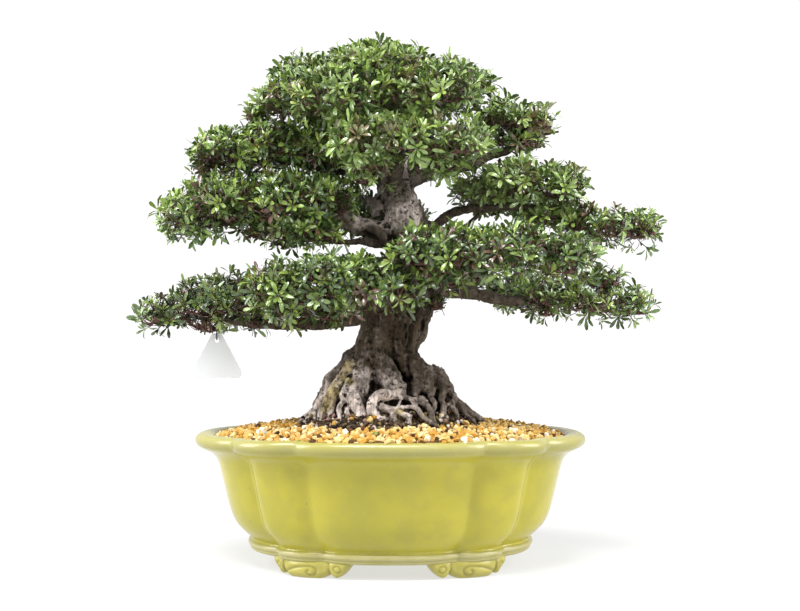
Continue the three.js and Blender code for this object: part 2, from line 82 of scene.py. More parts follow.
# %% The wire class
class Wire:
    """A socket of a node tree, with arithmetic."""

    def __init__(self, tree, socket=None):
        self.tree, self.socket = tree, socket

    def node(self, kind, inputs=(), output=0, **settings):
        made = self.tree.nodes.new(kind)
        for name, value in settings.items():
            setattr(made, name, value)
        shown = [socket for socket in made.inputs if socket.enabled]
        pairs = inputs.items() if isinstance(inputs, dict) else enumerate(inputs)
        for key, value in pairs:
            socket = shown[key] if isinstance(key, int) else next(s for s in shown if s.name == key)
            if isinstance(value, Wire):
                self.tree.links.new(value.socket, socket)
            else:
                socket.default_value = value
        given = [socket for socket in made.outputs if socket.enabled]
        return Wire(self.tree, given[output] if isinstance(output, int) else
                    next(s for s in given if s.name == output))

    def beside(self, name):
        """Another output of the same node."""
        return Wire(self.tree, next(s for s in self.socket.node.outputs if s.name == name and s.enabled))

    def math(self, operation, *values):
        return self.node("ShaderNodeMath", values, operation=operation)

    def vector(self, operation, *values, output=0):
        return self.node("ShaderNodeVectorMath", values, operation=operation, output=output)

    def __add__(self, other): return self.math("ADD", self, other)
    def __sub__(self, other): return self.math("SUBTRACT", self, other)
    def __mul__(self, other): return self.math("MULTIPLY", self, other)
    def __pow__(self, other): return self.math("POWER", self, other)
    def __radd__(self, other): return self.math("ADD", other, self)
    def __rsub__(self, other): return self.math("SUBTRACT", other, self)
    def __rmul__(self, other): return self.math("MULTIPLY", other, self)

    def ramp(self, low, high, to_low=0.0, to_high=1.0, kind="SMOOTHSTEP"):
        """Turns low..high into to_low..to_high, softly at both ends."""
        return self.node("ShaderNodeMapRange", (self, low, high, to_low, to_high),
                         interpolation_type=kind)

    def mix(self, first, second):
        """The first colour where this wire is 0, the second where it is 1."""
        colours = [c if isinstance(c, Wire) else (*c, 1.0) for c in (first, second)]
        return self.node("ShaderNodeMix", (self, *colours), data_type="RGBA")


# %% [markdown]
# ## Starting a material
# Each finish here begins with the same few things: the shader, the place of a point on the object, and
# noise of a chosen size. The place is read from the object itself, in metres, so a grain of 2 mm is
# the same on every piece.

# %% Material helpers
def start_finish(name, roughness, **constants):
    """A new material: its shader node and a wire to build its nodes from."""
    material = bpy.data.materials.new(name)
    material.use_nodes = True
    shader = material.node_tree.nodes["Principled BSDF"]
    shader.inputs["Roughness"].default_value = roughness
    for socket, value in constants.items():
        shader.inputs[socket.replace("_", " ")].default_value = value
    return material, shader, Wire(material.node_tree)


def place_on(wire, stretch=(1.0, 1.0, 1.0)):
    """The point on the object in metres, with each direction stretched."""
    return wire.vector("MULTIPLY", wire.node("ShaderNodeTexCoord", output="Object"), stretch)


def mottle(place, size, detail=3.0, roughness=0.55):
    """Noise from 0 to 1 whose patches are about that many metres across."""
    return place.node("ShaderNodeTexNoise", {
        "Vector": place, "Scale": 0.6 / size, "Detail": detail, "Roughness": roughness})


def stored(wire, name):
    """A number that the mesh carries at each corner point."""
    return wire.node("ShaderNodeAttribute", attribute_name=name, output="Fac")


def finish_with(shader, wire, colour=None, roughness=None, relief=None, height=0.001):
    """Links what varies to the shader: its colour, roughness and relief, whose height is in metres."""
    links = wire.tree.links
    if colour is not None:
        links.new(colour.socket, shader.inputs["Base Color"])
    if roughness is not None:
        links.new(roughness.socket, shader.inputs["Roughness"])
    if relief is not None:
        bump = wire.node("ShaderNodeBump", {"Height": relief, "Strength": 1.0, "Distance": height})
        links.new(bump.socket, shader.inputs["Normal"])


# %% [markdown]
# ## Starting a mesh and a Geometry Nodes recipe
# A mesh is made from plain arrays of points and faces, because a rule gives them. What repeats, such as
# grains, twigs and leaves, is grown by Geometry Nodes. Its result becomes a plain mesh at once, so the
# finished piece carries no modifier.

# %% Mesh and recipe helpers
MM = 0.001  # a millimetre in metres


def in_place(points):
    """Points in millimetres from the pot's middle, as metres in the model."""
    return points * MM + POT_MIDDLE


def fade(values, start, over):
    """0 up to the start and then up to 1 over that distance, or a fall from 1 if it is negative."""
    return np.clip((values - start) / over, 0, 1)


def full_turn(count):
    """So many angles round a circle."""
    return np.linspace(0, 2 * np.pi, count, endpoint=False)


def new_piece(name, points, faces, material=None, smooth=True, edges=()):
    mesh = bpy.data.meshes.new(name)
    mesh.from_pydata(np.asarray(points).tolist(), list(edges), [list(map(int, face)) for face in faces])
    mesh.polygons.foreach_set("use_smooth", [smooth] * len(mesh.polygons))
    if material:
        mesh.materials.append(material)
    return put_in_scene(name, mesh)


def keep_modified(piece):
    """Keeps what the modifiers make as the piece's own mesh."""
    graph = bpy.context.evaluated_depsgraph_get()
    mesh = bpy.data.meshes.new_from_object(piece.evaluated_get(graph), preserve_all_data_layers=True,
                                           depsgraph=graph)
    piece.modifiers.clear()
    piece.data = mesh


def keep_numbers(piece, name, values):
    """Stores one number for each point of the mesh, for the material or the recipe to read."""
    layer = piece.data.attributes.new(name, "FLOAT", "POINT")
    layer.data.foreach_set("value", np.asarray(values, dtype=np.float32))


def start_recipe(name, sizes):
    """An empty Geometry Nodes tree with named inputs, as wires by name."""
    tree = bpy.data.node_groups.new(name, "GeometryNodeTree")
    for side in ("INPUT", "OUTPUT"):
        tree.interface.new_socket("Geometry", in_out=side, socket_type="NodeSocketGeometry")
    for label, value in sizes.items():
        kind = "NodeSocketInt" if isinstance(value, int) else "NodeSocketFloat"
        tree.interface.new_socket(label, in_out="INPUT", socket_type=kind).default_value = value
    entry = tree.nodes.new("NodeGroupInput")
    return tree, {socket.name: Wire(tree, socket) for socket in entry.outputs if socket.name}


def end_recipe(shape, material):
    """Makes everything real, gives it its material and passes it on."""
    shape = shape.node("GeometryNodeRealizeInstances", {"Geometry": shape})
    shape = shape.node("GeometryNodeSetMaterial", {"Geometry": shape, "Material": material})
    exit_node = shape.tree.nodes.new("NodeGroupOutput")
    shape.tree.links.new(shape.socket, exit_node.inputs["Geometry"])


def grow(piece, tree, **sizes):
    """Runs a recipe on a piece and keeps the result as the piece's own plain mesh."""
    modifier = piece.modifiers.new(tree.name, "NODES")
    modifier.node_group = tree
    for item in tree.interface.items_tree:
        if item.in_out == "INPUT" and item.name in sizes:
            modifier[item.identifier] = sizes[item.name]
    seed_mesh = piece.data
    keep_modified(piece)
    bpy.data.meshes.remove(seed_mesh)
    material = next(m for m in piece.data.materials if m)
    piece.data.materials.clear()
    piece.data.materials.append(material)
    piece.data.polygons.foreach_set("material_index", [0] * len(piece.data.polygons))


def smooth_all(piece):
    piece.data.polygons.foreach_set("use_smooth", [True] * len(piece.data.polygons))


def triangles(piece):
    piece.data.calc_loop_triangles()
    return len(piece.data.loop_triangles)


# %% [markdown]
# ## The tag's cord
# A short dark cord hangs from the lowest left branch and carries a card tag. It goes down from the
# front of the branch, through the tag's hole and a little way behind it. A curve with a round bevel is
# enough for so thin a thing, and its own line says how long it is.

# %% Cord of the tag
TAG_HOLE = POT_MIDDLE + np.array([-0.222, -0.025, 0.285])
CORD_THICKNESS = 0.0018
CORD_ROUTE = [(1, 6, 33), (0.6, 2, 20), (0, -2, 7), (0, -2, 2), (0, 0, 1.7), (0, 2.4, 1.2)]


def smooth_route(points, steps):
    """A rounded line through the points (Catmull-Rom), with so many steps between each two."""
    points = np.asarray(points, dtype=float)
    ends = np.vstack([2 * points[0] - points[1], points, 2 * points[-1] - points[-2]])
    line = []
    for a, b, c, d in zip(ends, ends[1:], ends[2:], ends[3:]):
        for t in np.linspace(0, 1, steps, endpoint=False):
            line.append(0.5 * (2 * b + (c - a) * t + (2 * a - 5 * b + 4 * c - d) * t**2
                               + (3 * b - a - 3 * c + d) * t**3))
    return np.array(line + [points[-1]])


cord_line = TAG_HOLE + MM * smooth_route(CORD_ROUTE, 5)
cord_curve = bpy.data.curves.new("tag_cord", "CURVE")
cord_curve.dimensions, cord_curve.bevel_depth = "3D", CORD_THICKNESS / 2
cord_curve.bevel_resolution, cord_curve.use_fill_caps = 3, True
spline = cord_curve.splines.new("POLY")
spline.points.add(len(cord_line) - 1)
spline.points.foreach_set("co", np.column_stack([cord_line, np.ones(len(cord_line))]).ravel())
tag_cord = put_in_scene("tag_cord", cord_curve)
cord_length = float(np.linalg.norm(np.diff(cord_line, axis=0), axis=1).sum())
print("cord length in metres:", round(cord_length, 4))

# %% [markdown]
# ## The tag
# The tag is a blank pale card with a narrow top and rounded lower corners, cut from thin coated
# board. Its outline is a short list of corners, each rounded with a small arc, and the edges get a
# fine bevel so that they catch the light.

# %% Tag
TAG_CORNERS = [(-6, 9, 3), (-31.5, -40, 9), (-31, -48, 5), (31, -48, 5), (31.5, -40, 9), (6, 9, 3)]
TAG_HOLE_RADIUS, TAG_THICKNESS, TAG_BEVEL = 3, 1.2, 0.3  # millimetres


def rounded_outline(corners, steps=6):
    """Goes round corners (x, z, radius), with an arc in place of each corner."""
    outline = []
    count = len(corners)
    for i, (x, z, radius) in enumerate(corners):
        here = np.array([x, z])
        back, on = (np.array(corners[j % count][:2]) - here for j in (i - 1, i + 1))
        back, on = back / np.linalg.norm(back), on / np.linalg.norm(on)
        half = math.acos(np.clip(back @ on, -1, 1)) / 2
        reach = radius / math.tan(half)
        start, end = here + back * reach, here + on * reach
        for t in np.linspace(0, 1, steps):
            outline.append((1 - t) ** 2 * start + 2 * t * (1 - t) * here + t**2 * end)
    return outline


def build_tag():
    hole = [TAG_HOLE_RADIUS * np.array([math.cos(a), math.sin(a)]) for a in full_turn(24)]
    shape = bmesh.new()
    loops = []
    for ring in (rounded_outline(TAG_CORNERS), hole):
        points = [shape.verts.new((x, 0.0, z)) for x, z in ring]
        loops += [shape.edges.new((points[i - 1], points[i])) for i in range(len(points))]
    bmesh.ops.triangle_fill(shape, use_beauty=True, edges=loops)
    bmesh.ops.recalc_face_normals(shape, faces=shape.faces)
    mesh = bpy.data.meshes.new("tag")
    shape.to_mesh(mesh)
    shape.free()
    tag = put_in_scene("tag", mesh)
    solid = tag.modifiers.new("thick", "SOLIDIFY")
    solid.thickness, solid.offset = TAG_THICKNESS, 0.0
    bevel = tag.modifiers.new("edge", "BEVEL")
    bevel.width, bevel.segments, bevel.limit_method = TAG_BEVEL, 2, "ANGLE"
    keep_modified(tag)
    points = np.array([v.co for v in tag.data.vertices]) * MM + TAG_HOLE
    tag.data.vertices.foreach_set("co", points.ravel())
    return tag


card, shader, wire = start_finish("card", 0.5, Coat_Weight=0.25, Coat_Roughness=0.2)
fibre = mottle(place_on(wire), 0.0012)
cloud = mottle(place_on(wire), 0.02)
finish_with(shader, wire, colour=(cloud * 0.6 + fibre * 0.4).mix((0.62, 0.64, 0.65), (0.68, 0.695, 0.70)),
            roughness=fibre.ramp(0.3, 0.7, 0.42, 0.55), relief=fibre, height=0.00003)
string, shader, wire = start_finish("string", 0.85, Sheen_Weight=0.2)
ply = wire.node("ShaderNodeTexWave", {"Vector": place_on(wire), "Scale": 300.0, "Distortion": 1.0},
                output="Fac", bands_direction="DIAGONAL")
finish_with(shader, wire, colour=ply.mix((0.02, 0.018, 0.015), (0.09, 0.08, 0.07)), relief=ply, height=0.0002)

tag = build_tag()
tag.data.materials.append(card)
cord_curve.materials.append(string)
for piece, node, slot in ((tag, "label_tag", "card"), (tag_cord, "label_cord", "string")):
    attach(piece, "root")
    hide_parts(node)
print("tag triangles:", triangles(tag))

# %% [markdown]
# ## The pot's wall
# The pot is one fired piece: a lobed wall with a thick rolled lip, a bead round its base and four
# cloud-shaped feet. A lathe can't make lobes, so each ring of the profile is bent to the lobed plan
# by a rule: between two creases the wall bulges, and at a crease it is pressed in by a sixteenth. The
# profile is rounded by cutting its corners once, which keeps the bead and the lip crisp. The bead runs
# a little lower at the front and back than at the ends.

# %% Pot: plan and profile
CREASES = (-39.375, 39.375, 64.6875, 115.3125)  # degrees from the long axis
CREASE_DEPTH = 0.060  # share of the width by which the wall is pressed in at a crease
CREASE_NARROWNESS = 3.2  # how quickly a lobe rounds off towards its creases
CREASE_SOFTNESS = 1.1  # degrees
DEPTH_SHARE = 0.76  # depth over width
OUTLINE_POWER = 2.3  # 2 would be an ellipse
SIDES = 384  # creases fall on a side
BEAD_HEIGHT, BEAD_DIP, DIP_REACH = 29, 3.6, 26  # millimetres: the dip fades out that far up and down
BEAD_FROM = 172  # half-width where the underside ends and the bead begins


def lobed(half_width, angle, depth=CREASE_DEPTH):
    """Points of the plan at these angles, for a ring of that half-width."""
    turn = np.degrees(angle) % 180
    from_long = 90 - np.abs(turn - 90)
    lobe = [from_long < CREASES[1], from_long < CREASES[2]]
    left, right = np.select(lobe, CREASES[:2], CREASES[2]), np.select(lobe, CREASES[1:3], CREASES[3])
    from_crease = np.minimum(from_long - left, right - from_long)
    soft = np.sqrt(from_crease**2 + CREASE_SOFTNESS**2) - 0.35 * CREASE_SOFTNESS
    off_middle = np.clip(1 - 2 * soft / (right - left), 0, 1)
    reach = half_width * (1 - depth * off_middle**CREASE_NARROWNESS)
    squarer = lambda value: np.sign(value) * np.abs(value) ** (2 / OUTLINE_POWER)
    return reach * squarer(np.cos(angle)), reach * DEPTH_SHARE * squarer(np.sin(angle))


def lobed_ring(half_width, angle, height, depth=CREASE_DEPTH):
    """A ring of points on the plan, with one height or a height for each point."""
    return np.column_stack([*lobed(half_width, angle, depth), np.broadcast_to(height, angle.shape)])


# Half-width and height in millimetres, and how thin the glaze lies there, which also sets a painted
# reflection on the lip and the bead
PROFILE = [
    (0, 20, 0), (90, 20, 0), (160, 20, 0), (173, 20.5, 1.2), (178.5, 22.5, 1.8), (180, 24.6, 1.5),
    (179.4, 26.2, 1.2), (180.2, 27.4, 1.5), (182.2, 29, 2), (182.6, 31.2, 2), (181, 33.4, 1),
    (178, 34.8, 0), (178, 36.6, 0), (184, 41.5, 0), (191, 47.5, 0), (198, 55, 0), (203.5, 65.5, 0),
    (208, 80, 0), (212.5, 99, 0), (216, 113, 0), (218.6, 124, 0), (220.6, 131.5, 0), (223.6, 137.8, 0),
    (228.4, 142.8, 0), (234.2, 146.4, 0), (239.4, 148.6, 0.1), (244.4, 151, 0.4), (248.4, 154.6, 0.8),
    (250, 159, 1), (249, 163.6, 1), (245, 166.8, 0.9), (238, 168, 0.7), (230, 167.4, 0.6),
    (225.5, 165, 0.9), (223, 160, 0.5), (215, 130, 0), (196, 65, 0), (184, 48, 0), (162, 32, 0),
    (60, 32, 0), (0, 32, 0),
]


def cut_corners(rows):
    """Rounds a line of points by replacing each corner with two nearer points."""
    rows = np.asarray(rows, dtype=float)
    near, far = rows[:-1], rows[1:]
    cut = np.stack([0.75 * near + 0.25 * far, 0.25 * near + 0.75 * far], axis=1).reshape(-1, rows.shape[1])
    return np.vstack([rows[:1], cut, rows[-1:]])


profile = cut_corners(PROFILE)
print("rings in the pot's profile:", len(profile))

# %% Pot: bowl mesh
def ring_faces(rings, sides, closed=False, capped=False):
    """Quads between each ring of points and the next, from the last to the first, or with end caps."""
    faces = []
    for r in range(rings - 1 + closed):
        here, on = r * sides, (r + 1) % rings * sides
        for s in range(sides):
            beside = (s + 1) % sides
            faces.append((here + s, here + beside, on + beside, on + s))
    if capped:
        last = (rings - 1) * sides
        faces += [tuple(range(sides))[::-1], tuple(range(last, last + sides))]
    return faces


def build_bowl():
    angle = full_turn(SIDES)
    rings = profile[1:-1]
    points, thin_glaze_and_reflection = [], []
    for half_width, height, glaze in rings:
        near_bead = np.clip(1 - abs(height - BEAD_HEIGHT) / DIP_REACH, 0, 1) * (half_width > BEAD_FROM)
        points.append(lobed_ring(half_width, angle, height - BEAD_DIP * near_bead * np.abs(np.sin(angle))))
        thin_glaze_and_reflection.append(np.full(SIDES, glaze))
    points = np.vstack(points + [[[0, 0, profile[0][1]]], [[0, 0, profile[-1][1]]]])
    thin_glaze_and_reflection = np.concatenate([np.concatenate(thin_glaze_and_reflection), [0, 0]])
    faces = ring_faces(len(rings), SIDES)
    bottom, top = len(points) - 2, len(points) - 1
    last = (len(rings) - 1) * SIDES
    faces += [(bottom, (s + 1) % SIDES, s) for s in range(SIDES)]
    faces += [(top, last + s, last + (s + 1) % SIDES) for s in range(SIDES)]
    return points, faces, thin_glaze_and_reflection


bowl_points, bowl_faces, bowl_glaze_and_reflection = build_bowl()
print("bowl faces:", len(bowl_faces))

# %% [markdown]
# ## The cloud feet
# Each foot sits under a corner lobe and is carved as a cloud: a broad tongue with an incised scroll,
# between two smaller curls. A sheet of points is bent round the base, its lower edge is cut to the
# cloud's outline and its face is raised into three cushions. The scroll is pressed in where a point
# lies near the scroll's line, so it is real relief and not just a drawn line.

# %% Pot: feet
FOOT_SPREAD = 22.0  # degrees either side of its middle
FOOT_TOP = 24.0
FOOT_REACH = 62  # millimetres along the base from its middle to its end
FOOT_DEPTH = 0.035  # the creases are shallower at the foot than in the wall
NOTCH = 0.535  # where a foot's tongue meets a curl, as a share of the spread
TONGUE_FLAT, CURL_FLAT = 0.30, 0.67  # the lower edge is level up to the one, and lowest at the other


def foot_edge(s):
    """Height of the foot's lower edge, in millimetres."""
    side = np.abs(s)
    tongue = 8.5 * fade(side, TONGUE_FLAT, NOTCH - TONGUE_FLAT) ** 2.2
    curl = 1.5 + 7.0 * fade(side, CURL_FLAT, NOTCH - CURL_FLAT) ** 2.2 + 20 * fade(side, 0.68, 0.32) ** 1.6
    return np.where(side < NOTCH, tongue, curl)


def scroll_line():
    """A line that sweeps up along the tongue and curls in at its inner end: place and height."""
    rise = np.linspace(0, 1, 30)
    turn = np.radians(np.linspace(90, -230, 50))
    reach = np.linspace(6.6, 2.2, 50)
    sweep = np.column_stack([-27 + 38 * rise, 6.5 + 8.3 * np.sin(rise * np.pi / 2)])
    return np.vstack([sweep, np.column_stack([11 + 1.3 * reach * np.cos(turn), 8.2 + reach * np.sin(turn)])])


def foot_relief(s, z):
    """How far the face stands out, in millimetres, at a place along the foot and a height."""
    side = np.abs(s)
    low = foot_edge(s)
    on_tongue = side < NOTCH
    across = np.where(on_tongue, side / NOTCH, (side - 0.75) / 0.25)
    cushion = np.sqrt(np.clip(1 - across**2, 0, 1)) * np.where(on_tongue, 6.5, 5.0)
    rounding = np.sqrt(fade(z, low, 6.0)) * np.clip((24.5 - z) / 8, 0.1, 1) ** 0.7
    line = scroll_line()
    away = np.hypot((s * FOOT_REACH)[..., None] - line[:, 0], z[..., None] - line[:, 1]).min(axis=-1)
    groove = 1.9 * np.exp(-((away / 1.7) ** 2)) * on_tongue
    from_curl = np.hypot((side - 0.72) * FOOT_REACH, (z - 12) * 1.1)
    curl_groove = 1.7 * np.exp(-(((from_curl - 4.4) / 1.5) ** 2)) * (side > NOTCH)
    return cushion * (0.25 + 0.75 * rounding) + 2.4 * rounding - groove - curl_groove, groove + curl_groove


def build_foot(middle, inward):
    """Points, faces and glaze darkening of a foot, pooling and painted shade in its grooves and notches.
    Inward is the end that its scroll curls towards.
    """
    along, rows = 96, 20
    s = np.linspace(-1, 1, along) * inward
    angle = np.radians(middle + FOOT_SPREAD * s * inward)
    shares = np.linspace(1, 0, rows) ** 1.3
    low = foot_edge(s)
    rings, pooled_and_shaded = [], []
    notch = np.exp(-(((np.abs(s) - NOTCH) / 0.03) ** 2))
    for share in shares:  # the outer face, from the top down
        z = low + (FOOT_TOP - low) * share
        relief, groove = foot_relief(s, z)
        rings.append((170.5 * (0.985 + 0.015 * z / 23) + relief, z))
        # grooves and notches: darker glaze, partly pooled and partly painted shade
        pooled_and_shaded.append(1 + np.clip(groove / 2.4 + notch, 0, 1))
    rings += [(163.0, low), (156.0, low + 0.6), (152.0, low + 6.0), (152.0, FOOT_TOP)]  # its hidden back
    points = [lobed_ring(half_width, angle, z, FOOT_DEPTH) for half_width, z in rings]
    points = np.stack(points, axis=1).reshape(-1, 3)  # column by column
    pooled_and_shaded = np.stack(pooled_and_shaded + [np.ones(along)] * 4, axis=1).ravel()
    return points, ring_faces(along, len(rings), capped=True), pooled_and_shaded


def joined(*parts):
    """Several sets of points and faces as one."""
    points, faces, start = [], [], 0
    for some_points, some_faces in parts:
        points.append(some_points)
        faces += [tuple(i + start for i in face) for face in some_faces]
        start += len(some_points)
    return np.vstack(points), faces


feet = [build_foot(middle, inward) for middle, inward in ((56, 1), (124, -1), (236, 1), (304, -1))]
foot_points, foot_faces = joined(*[foot[:2] for foot in feet])
foot_pooled_and_shaded = np.concatenate([foot[2] for foot in feet])
print("faces in the four feet:", len(foot_faces))

# %% [markdown]
# ## The drain holes
# Two round holes go through the pot's floor. They are cut with a Boolean, because the floor is a
# plain fan of faces, and the cut mesh is kept at once so that no modifier stays on the pot.

# %% Pot: drain holes
DRAIN_PLACES, DRAIN_RADIUS = (-80, 80), 14  # millimetres
DRAIN_SIDES = 40

pot = new_piece("glazed_pot", in_place(bowl_points), bowl_faces)
# how thin the glaze lies, which also sets a painted reflection on the lip and the bead
keep_numbers(pot, "thin_glaze_and_reflection", bowl_glaze_and_reflection)
turn = full_turn(DRAIN_SIDES)
for x in DRAIN_PLACES:
    rings = [np.column_stack([x + DRAIN_RADIUS * np.cos(turn), DRAIN_RADIUS * np.sin(turn),
                              np.full(DRAIN_SIDES, z)]) for z in (10, 40)]
    drill = new_piece("drill", in_place(np.vstack(rings)), ring_faces(2, DRAIN_SIDES, capped=True))
    cut = pot.modifiers.new("drain", "BOOLEAN")
    cut.object, cut.operation, cut.solver = drill, "DIFFERENCE", "EXACT"
    keep_modified(pot)
    bpy.data.objects.remove(drill)


def add_to(piece, points, faces, name, value):
    """Adds faces to a finished mesh. Their points store a number of their own, the old ones 0."""
    old = len(piece.data.vertices)
    whole = bmesh.new()
    whole.from_mesh(piece.data)
    added = [whole.verts.new(p) for p in points]
    for face in faces:
        whole.faces.new([added[i] for i in face]).smooth = True
    whole.to_mesh(piece.data)
    whole.free()
    keep_numbers(piece, name, np.concatenate([np.zeros(old), np.broadcast_to(value, len(points))]))


add_to(pot, in_place(foot_points), foot_faces, "dull_and_groove_shade", foot_pooled_and_shaded)
print("pot triangles:", triangles(pot))

# %% [markdown]
# ## The glaze
# The glaze is a glossy yellow with a touch of olive. It runs off edges while it melts, so it lies thin
# and pale on the lip and the bead, where the paler colour is also a painted reflection, and it pools a
# little darker in the feet's grooves, where the darkening is also painted shade, as it is in the notches
# between tongue and curls. A few dark specks and pinholes show the clay below. The feet stood nearer
# the kiln shelf and came out duller.

# %% Glaze material
glaze, shader, wire = start_finish("glaze", 0.22, Coat_Weight=0.12, Coat_Roughness=0.16,
                                   Specular_IOR_Level=0.4)
place = place_on(wire)
thin_glaze_and_reflection, dull_and_groove_shade = stored(wire, "thin_glaze_and_reflection"), stored(wire, "dull_and_groove_shade")
clouds = mottle(place, 0.09, 4.0)
fine = mottle(place, 0.006)
colour = clouds.ramp(0.3, 0.7).mix((0.355, 0.322, 0.030), (0.432, 0.382, 0.036))
# paler on the lip and the bead: partly the thin glaze, partly a painted reflection
colour = (thin_glaze_and_reflection.ramp(0.0, 1.0, kind="LINEAR") * 0.8).mix(colour, (0.30, 0.282, 0.118))
colour = (thin_glaze_and_reflection.ramp(1.0, 2.0, kind="LINEAR") * 0.7).mix(colour, (0.47, 0.42, 0.20))
colour = (mottle(place, 0.02, 4.0).ramp(0.42, 0.62) * 0.34).mix(colour, (0.31, 0.28, 0.045))
colour = (fine.ramp(0.6, 0.8) * 0.2).mix(colour, (0.50, 0.45, 0.07))
speckle = wire.node("ShaderNodeTexVoronoi", {"Vector": place, "Scale": 55.0}, output="Distance")
cell = speckle.beside("Color")
chosen = cell.vector("DOT_PRODUCT", cell, (1.0, 0.0, 0.0), output="Value")
speck = speckle.ramp(0.035, 0.06, 1.0, 0.0) * chosen.ramp(0.86, 0.9)
colour = (speck * 0.8).mix(colour, (0.10, 0.07, 0.03))
colour = (dull_and_groove_shade.ramp(0.0, 1.0, kind="LINEAR") * 0.45).mix(colour, (0.41, 0.37, 0.12))
# darker in the feet's grooves and notches: pooled glaze and painted shade
colour = (dull_and_groove_shade.ramp(1.1, 1.8, kind="LINEAR") * 0.5).mix(colour, (0.16, 0.13, 0.03))
gloss = fine * 0.06 + 0.17 + dull_and_groove_shade * 0.2 + speck * 0.3 + thin_glaze_and_reflection * 0.10
relief = clouds * 0.7 + fine * 0.08 - speck * 0.3
finish_with(shader, wire, colour=colour, roughness=gloss, relief=relief, height=0.0006)
pot.data.materials.clear()
pot.data.materials.append(glaze)
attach(pot, "root")
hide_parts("pot")

# %% [markdown]
# ## The trunk, roots and branches
# Two stems have grown together over a skirt of surface roots, and the branches leave them in tiers.
# Each limb is a line of points with a thickness. They are built as round tubes, fused by a voxel
# remesh as wood fuses when it grows, and smoothed so that the joints look grown.

# %% Tree: limbs as lines of x, y, z and radius in millimetres
PICTURE_WIDTH, MIDDLE_COLUMN, MIDDLE_ROW = 800, 400, 305.5  # pixels


def seen(*line):
    """Turns column and row in the picture, depth and radius into x, y, z and radius."""
    column, row, depth, radius = np.array(line, dtype=float).T
    eye = np.array(camera.location) * 1000 - POT_MIDDLE * 1000
    scale = (depth - eye[1]) * lens.sensor_width / (PICTURE_WIDTH * lens.lens)
    tilt = math.tan(camera.rotation_euler.x - math.pi / 2)
    level = MIDDLE_ROW + tilt * PICTURE_WIDTH * lens.lens / lens.sensor_width
    return np.column_stack([(column - MIDDLE_COLUMN) * scale + eye[0], depth,
                            (level - row) * scale + eye[2], radius])


STEMS = [
    [(-8, 0, 300, 30), (-4, 2, 320, 32), (2, 2, 340, 33), (12, 2, 365, 33), (20, 0, 390, 30),
     (24, 0, 412, 27), (18, -2, 440, 30), (9, 0, 468, 26), (4, 2, 492, 25), (1, 4, 518, 22),
     (-6, 5, 550, 17), (-14, 6, 586, 12), (-20, 8, 622, 7)],
    [(28, 2, 300, 22), (30, 0, 320, 25), (34, 0, 345, 24), (34, 0, 370, 20), (34, 0, 396, 16)],
]
CORE = [
    [(-6, 4, 332, 28), (-8, 6, 300, 27), (-10, 8, 270, 26), (-10, 12, 240, 30), (-10, 16, 200, 36),
     (-10, 18, 150, 40)],
    [(31, 2, 336, 24), (28, 4, 316, 25), (14, 10, 290, 21), (13, 18, 250, 25), (28, 24, 205, 36),
     (38, 26, 150, 40)],
]
BACK_ROOTS = [
    [(10, 18, 276, 15), (42, 46, 230, 19), (94, 86, 160, 10)],
    [(18, 8, 256, 14), (62, 26, 212, 15), (112, 42, 160, 10)],
    [(12, 4, 250, 14), (50, 8, 222, 14), (90, 10, 190, 12), (118, 12, 160, 9)],
    [(-4, 18, 286, 20), (-10, 62, 226, 20), (-18, 100, 160, 11)],
    [(-22, 12, 284, 20), (-58, 52, 224, 20), (-88, 84, 160, 11)],
    [(-28, 4, 276, 18), (-74, 24, 220, 16), (-112, 38, 160, 11)],
    [(-20, 0, 264, 18), (-54, 2, 222, 17), (-88, 2, 186, 13), (-104, 2, 160, 10)],
]
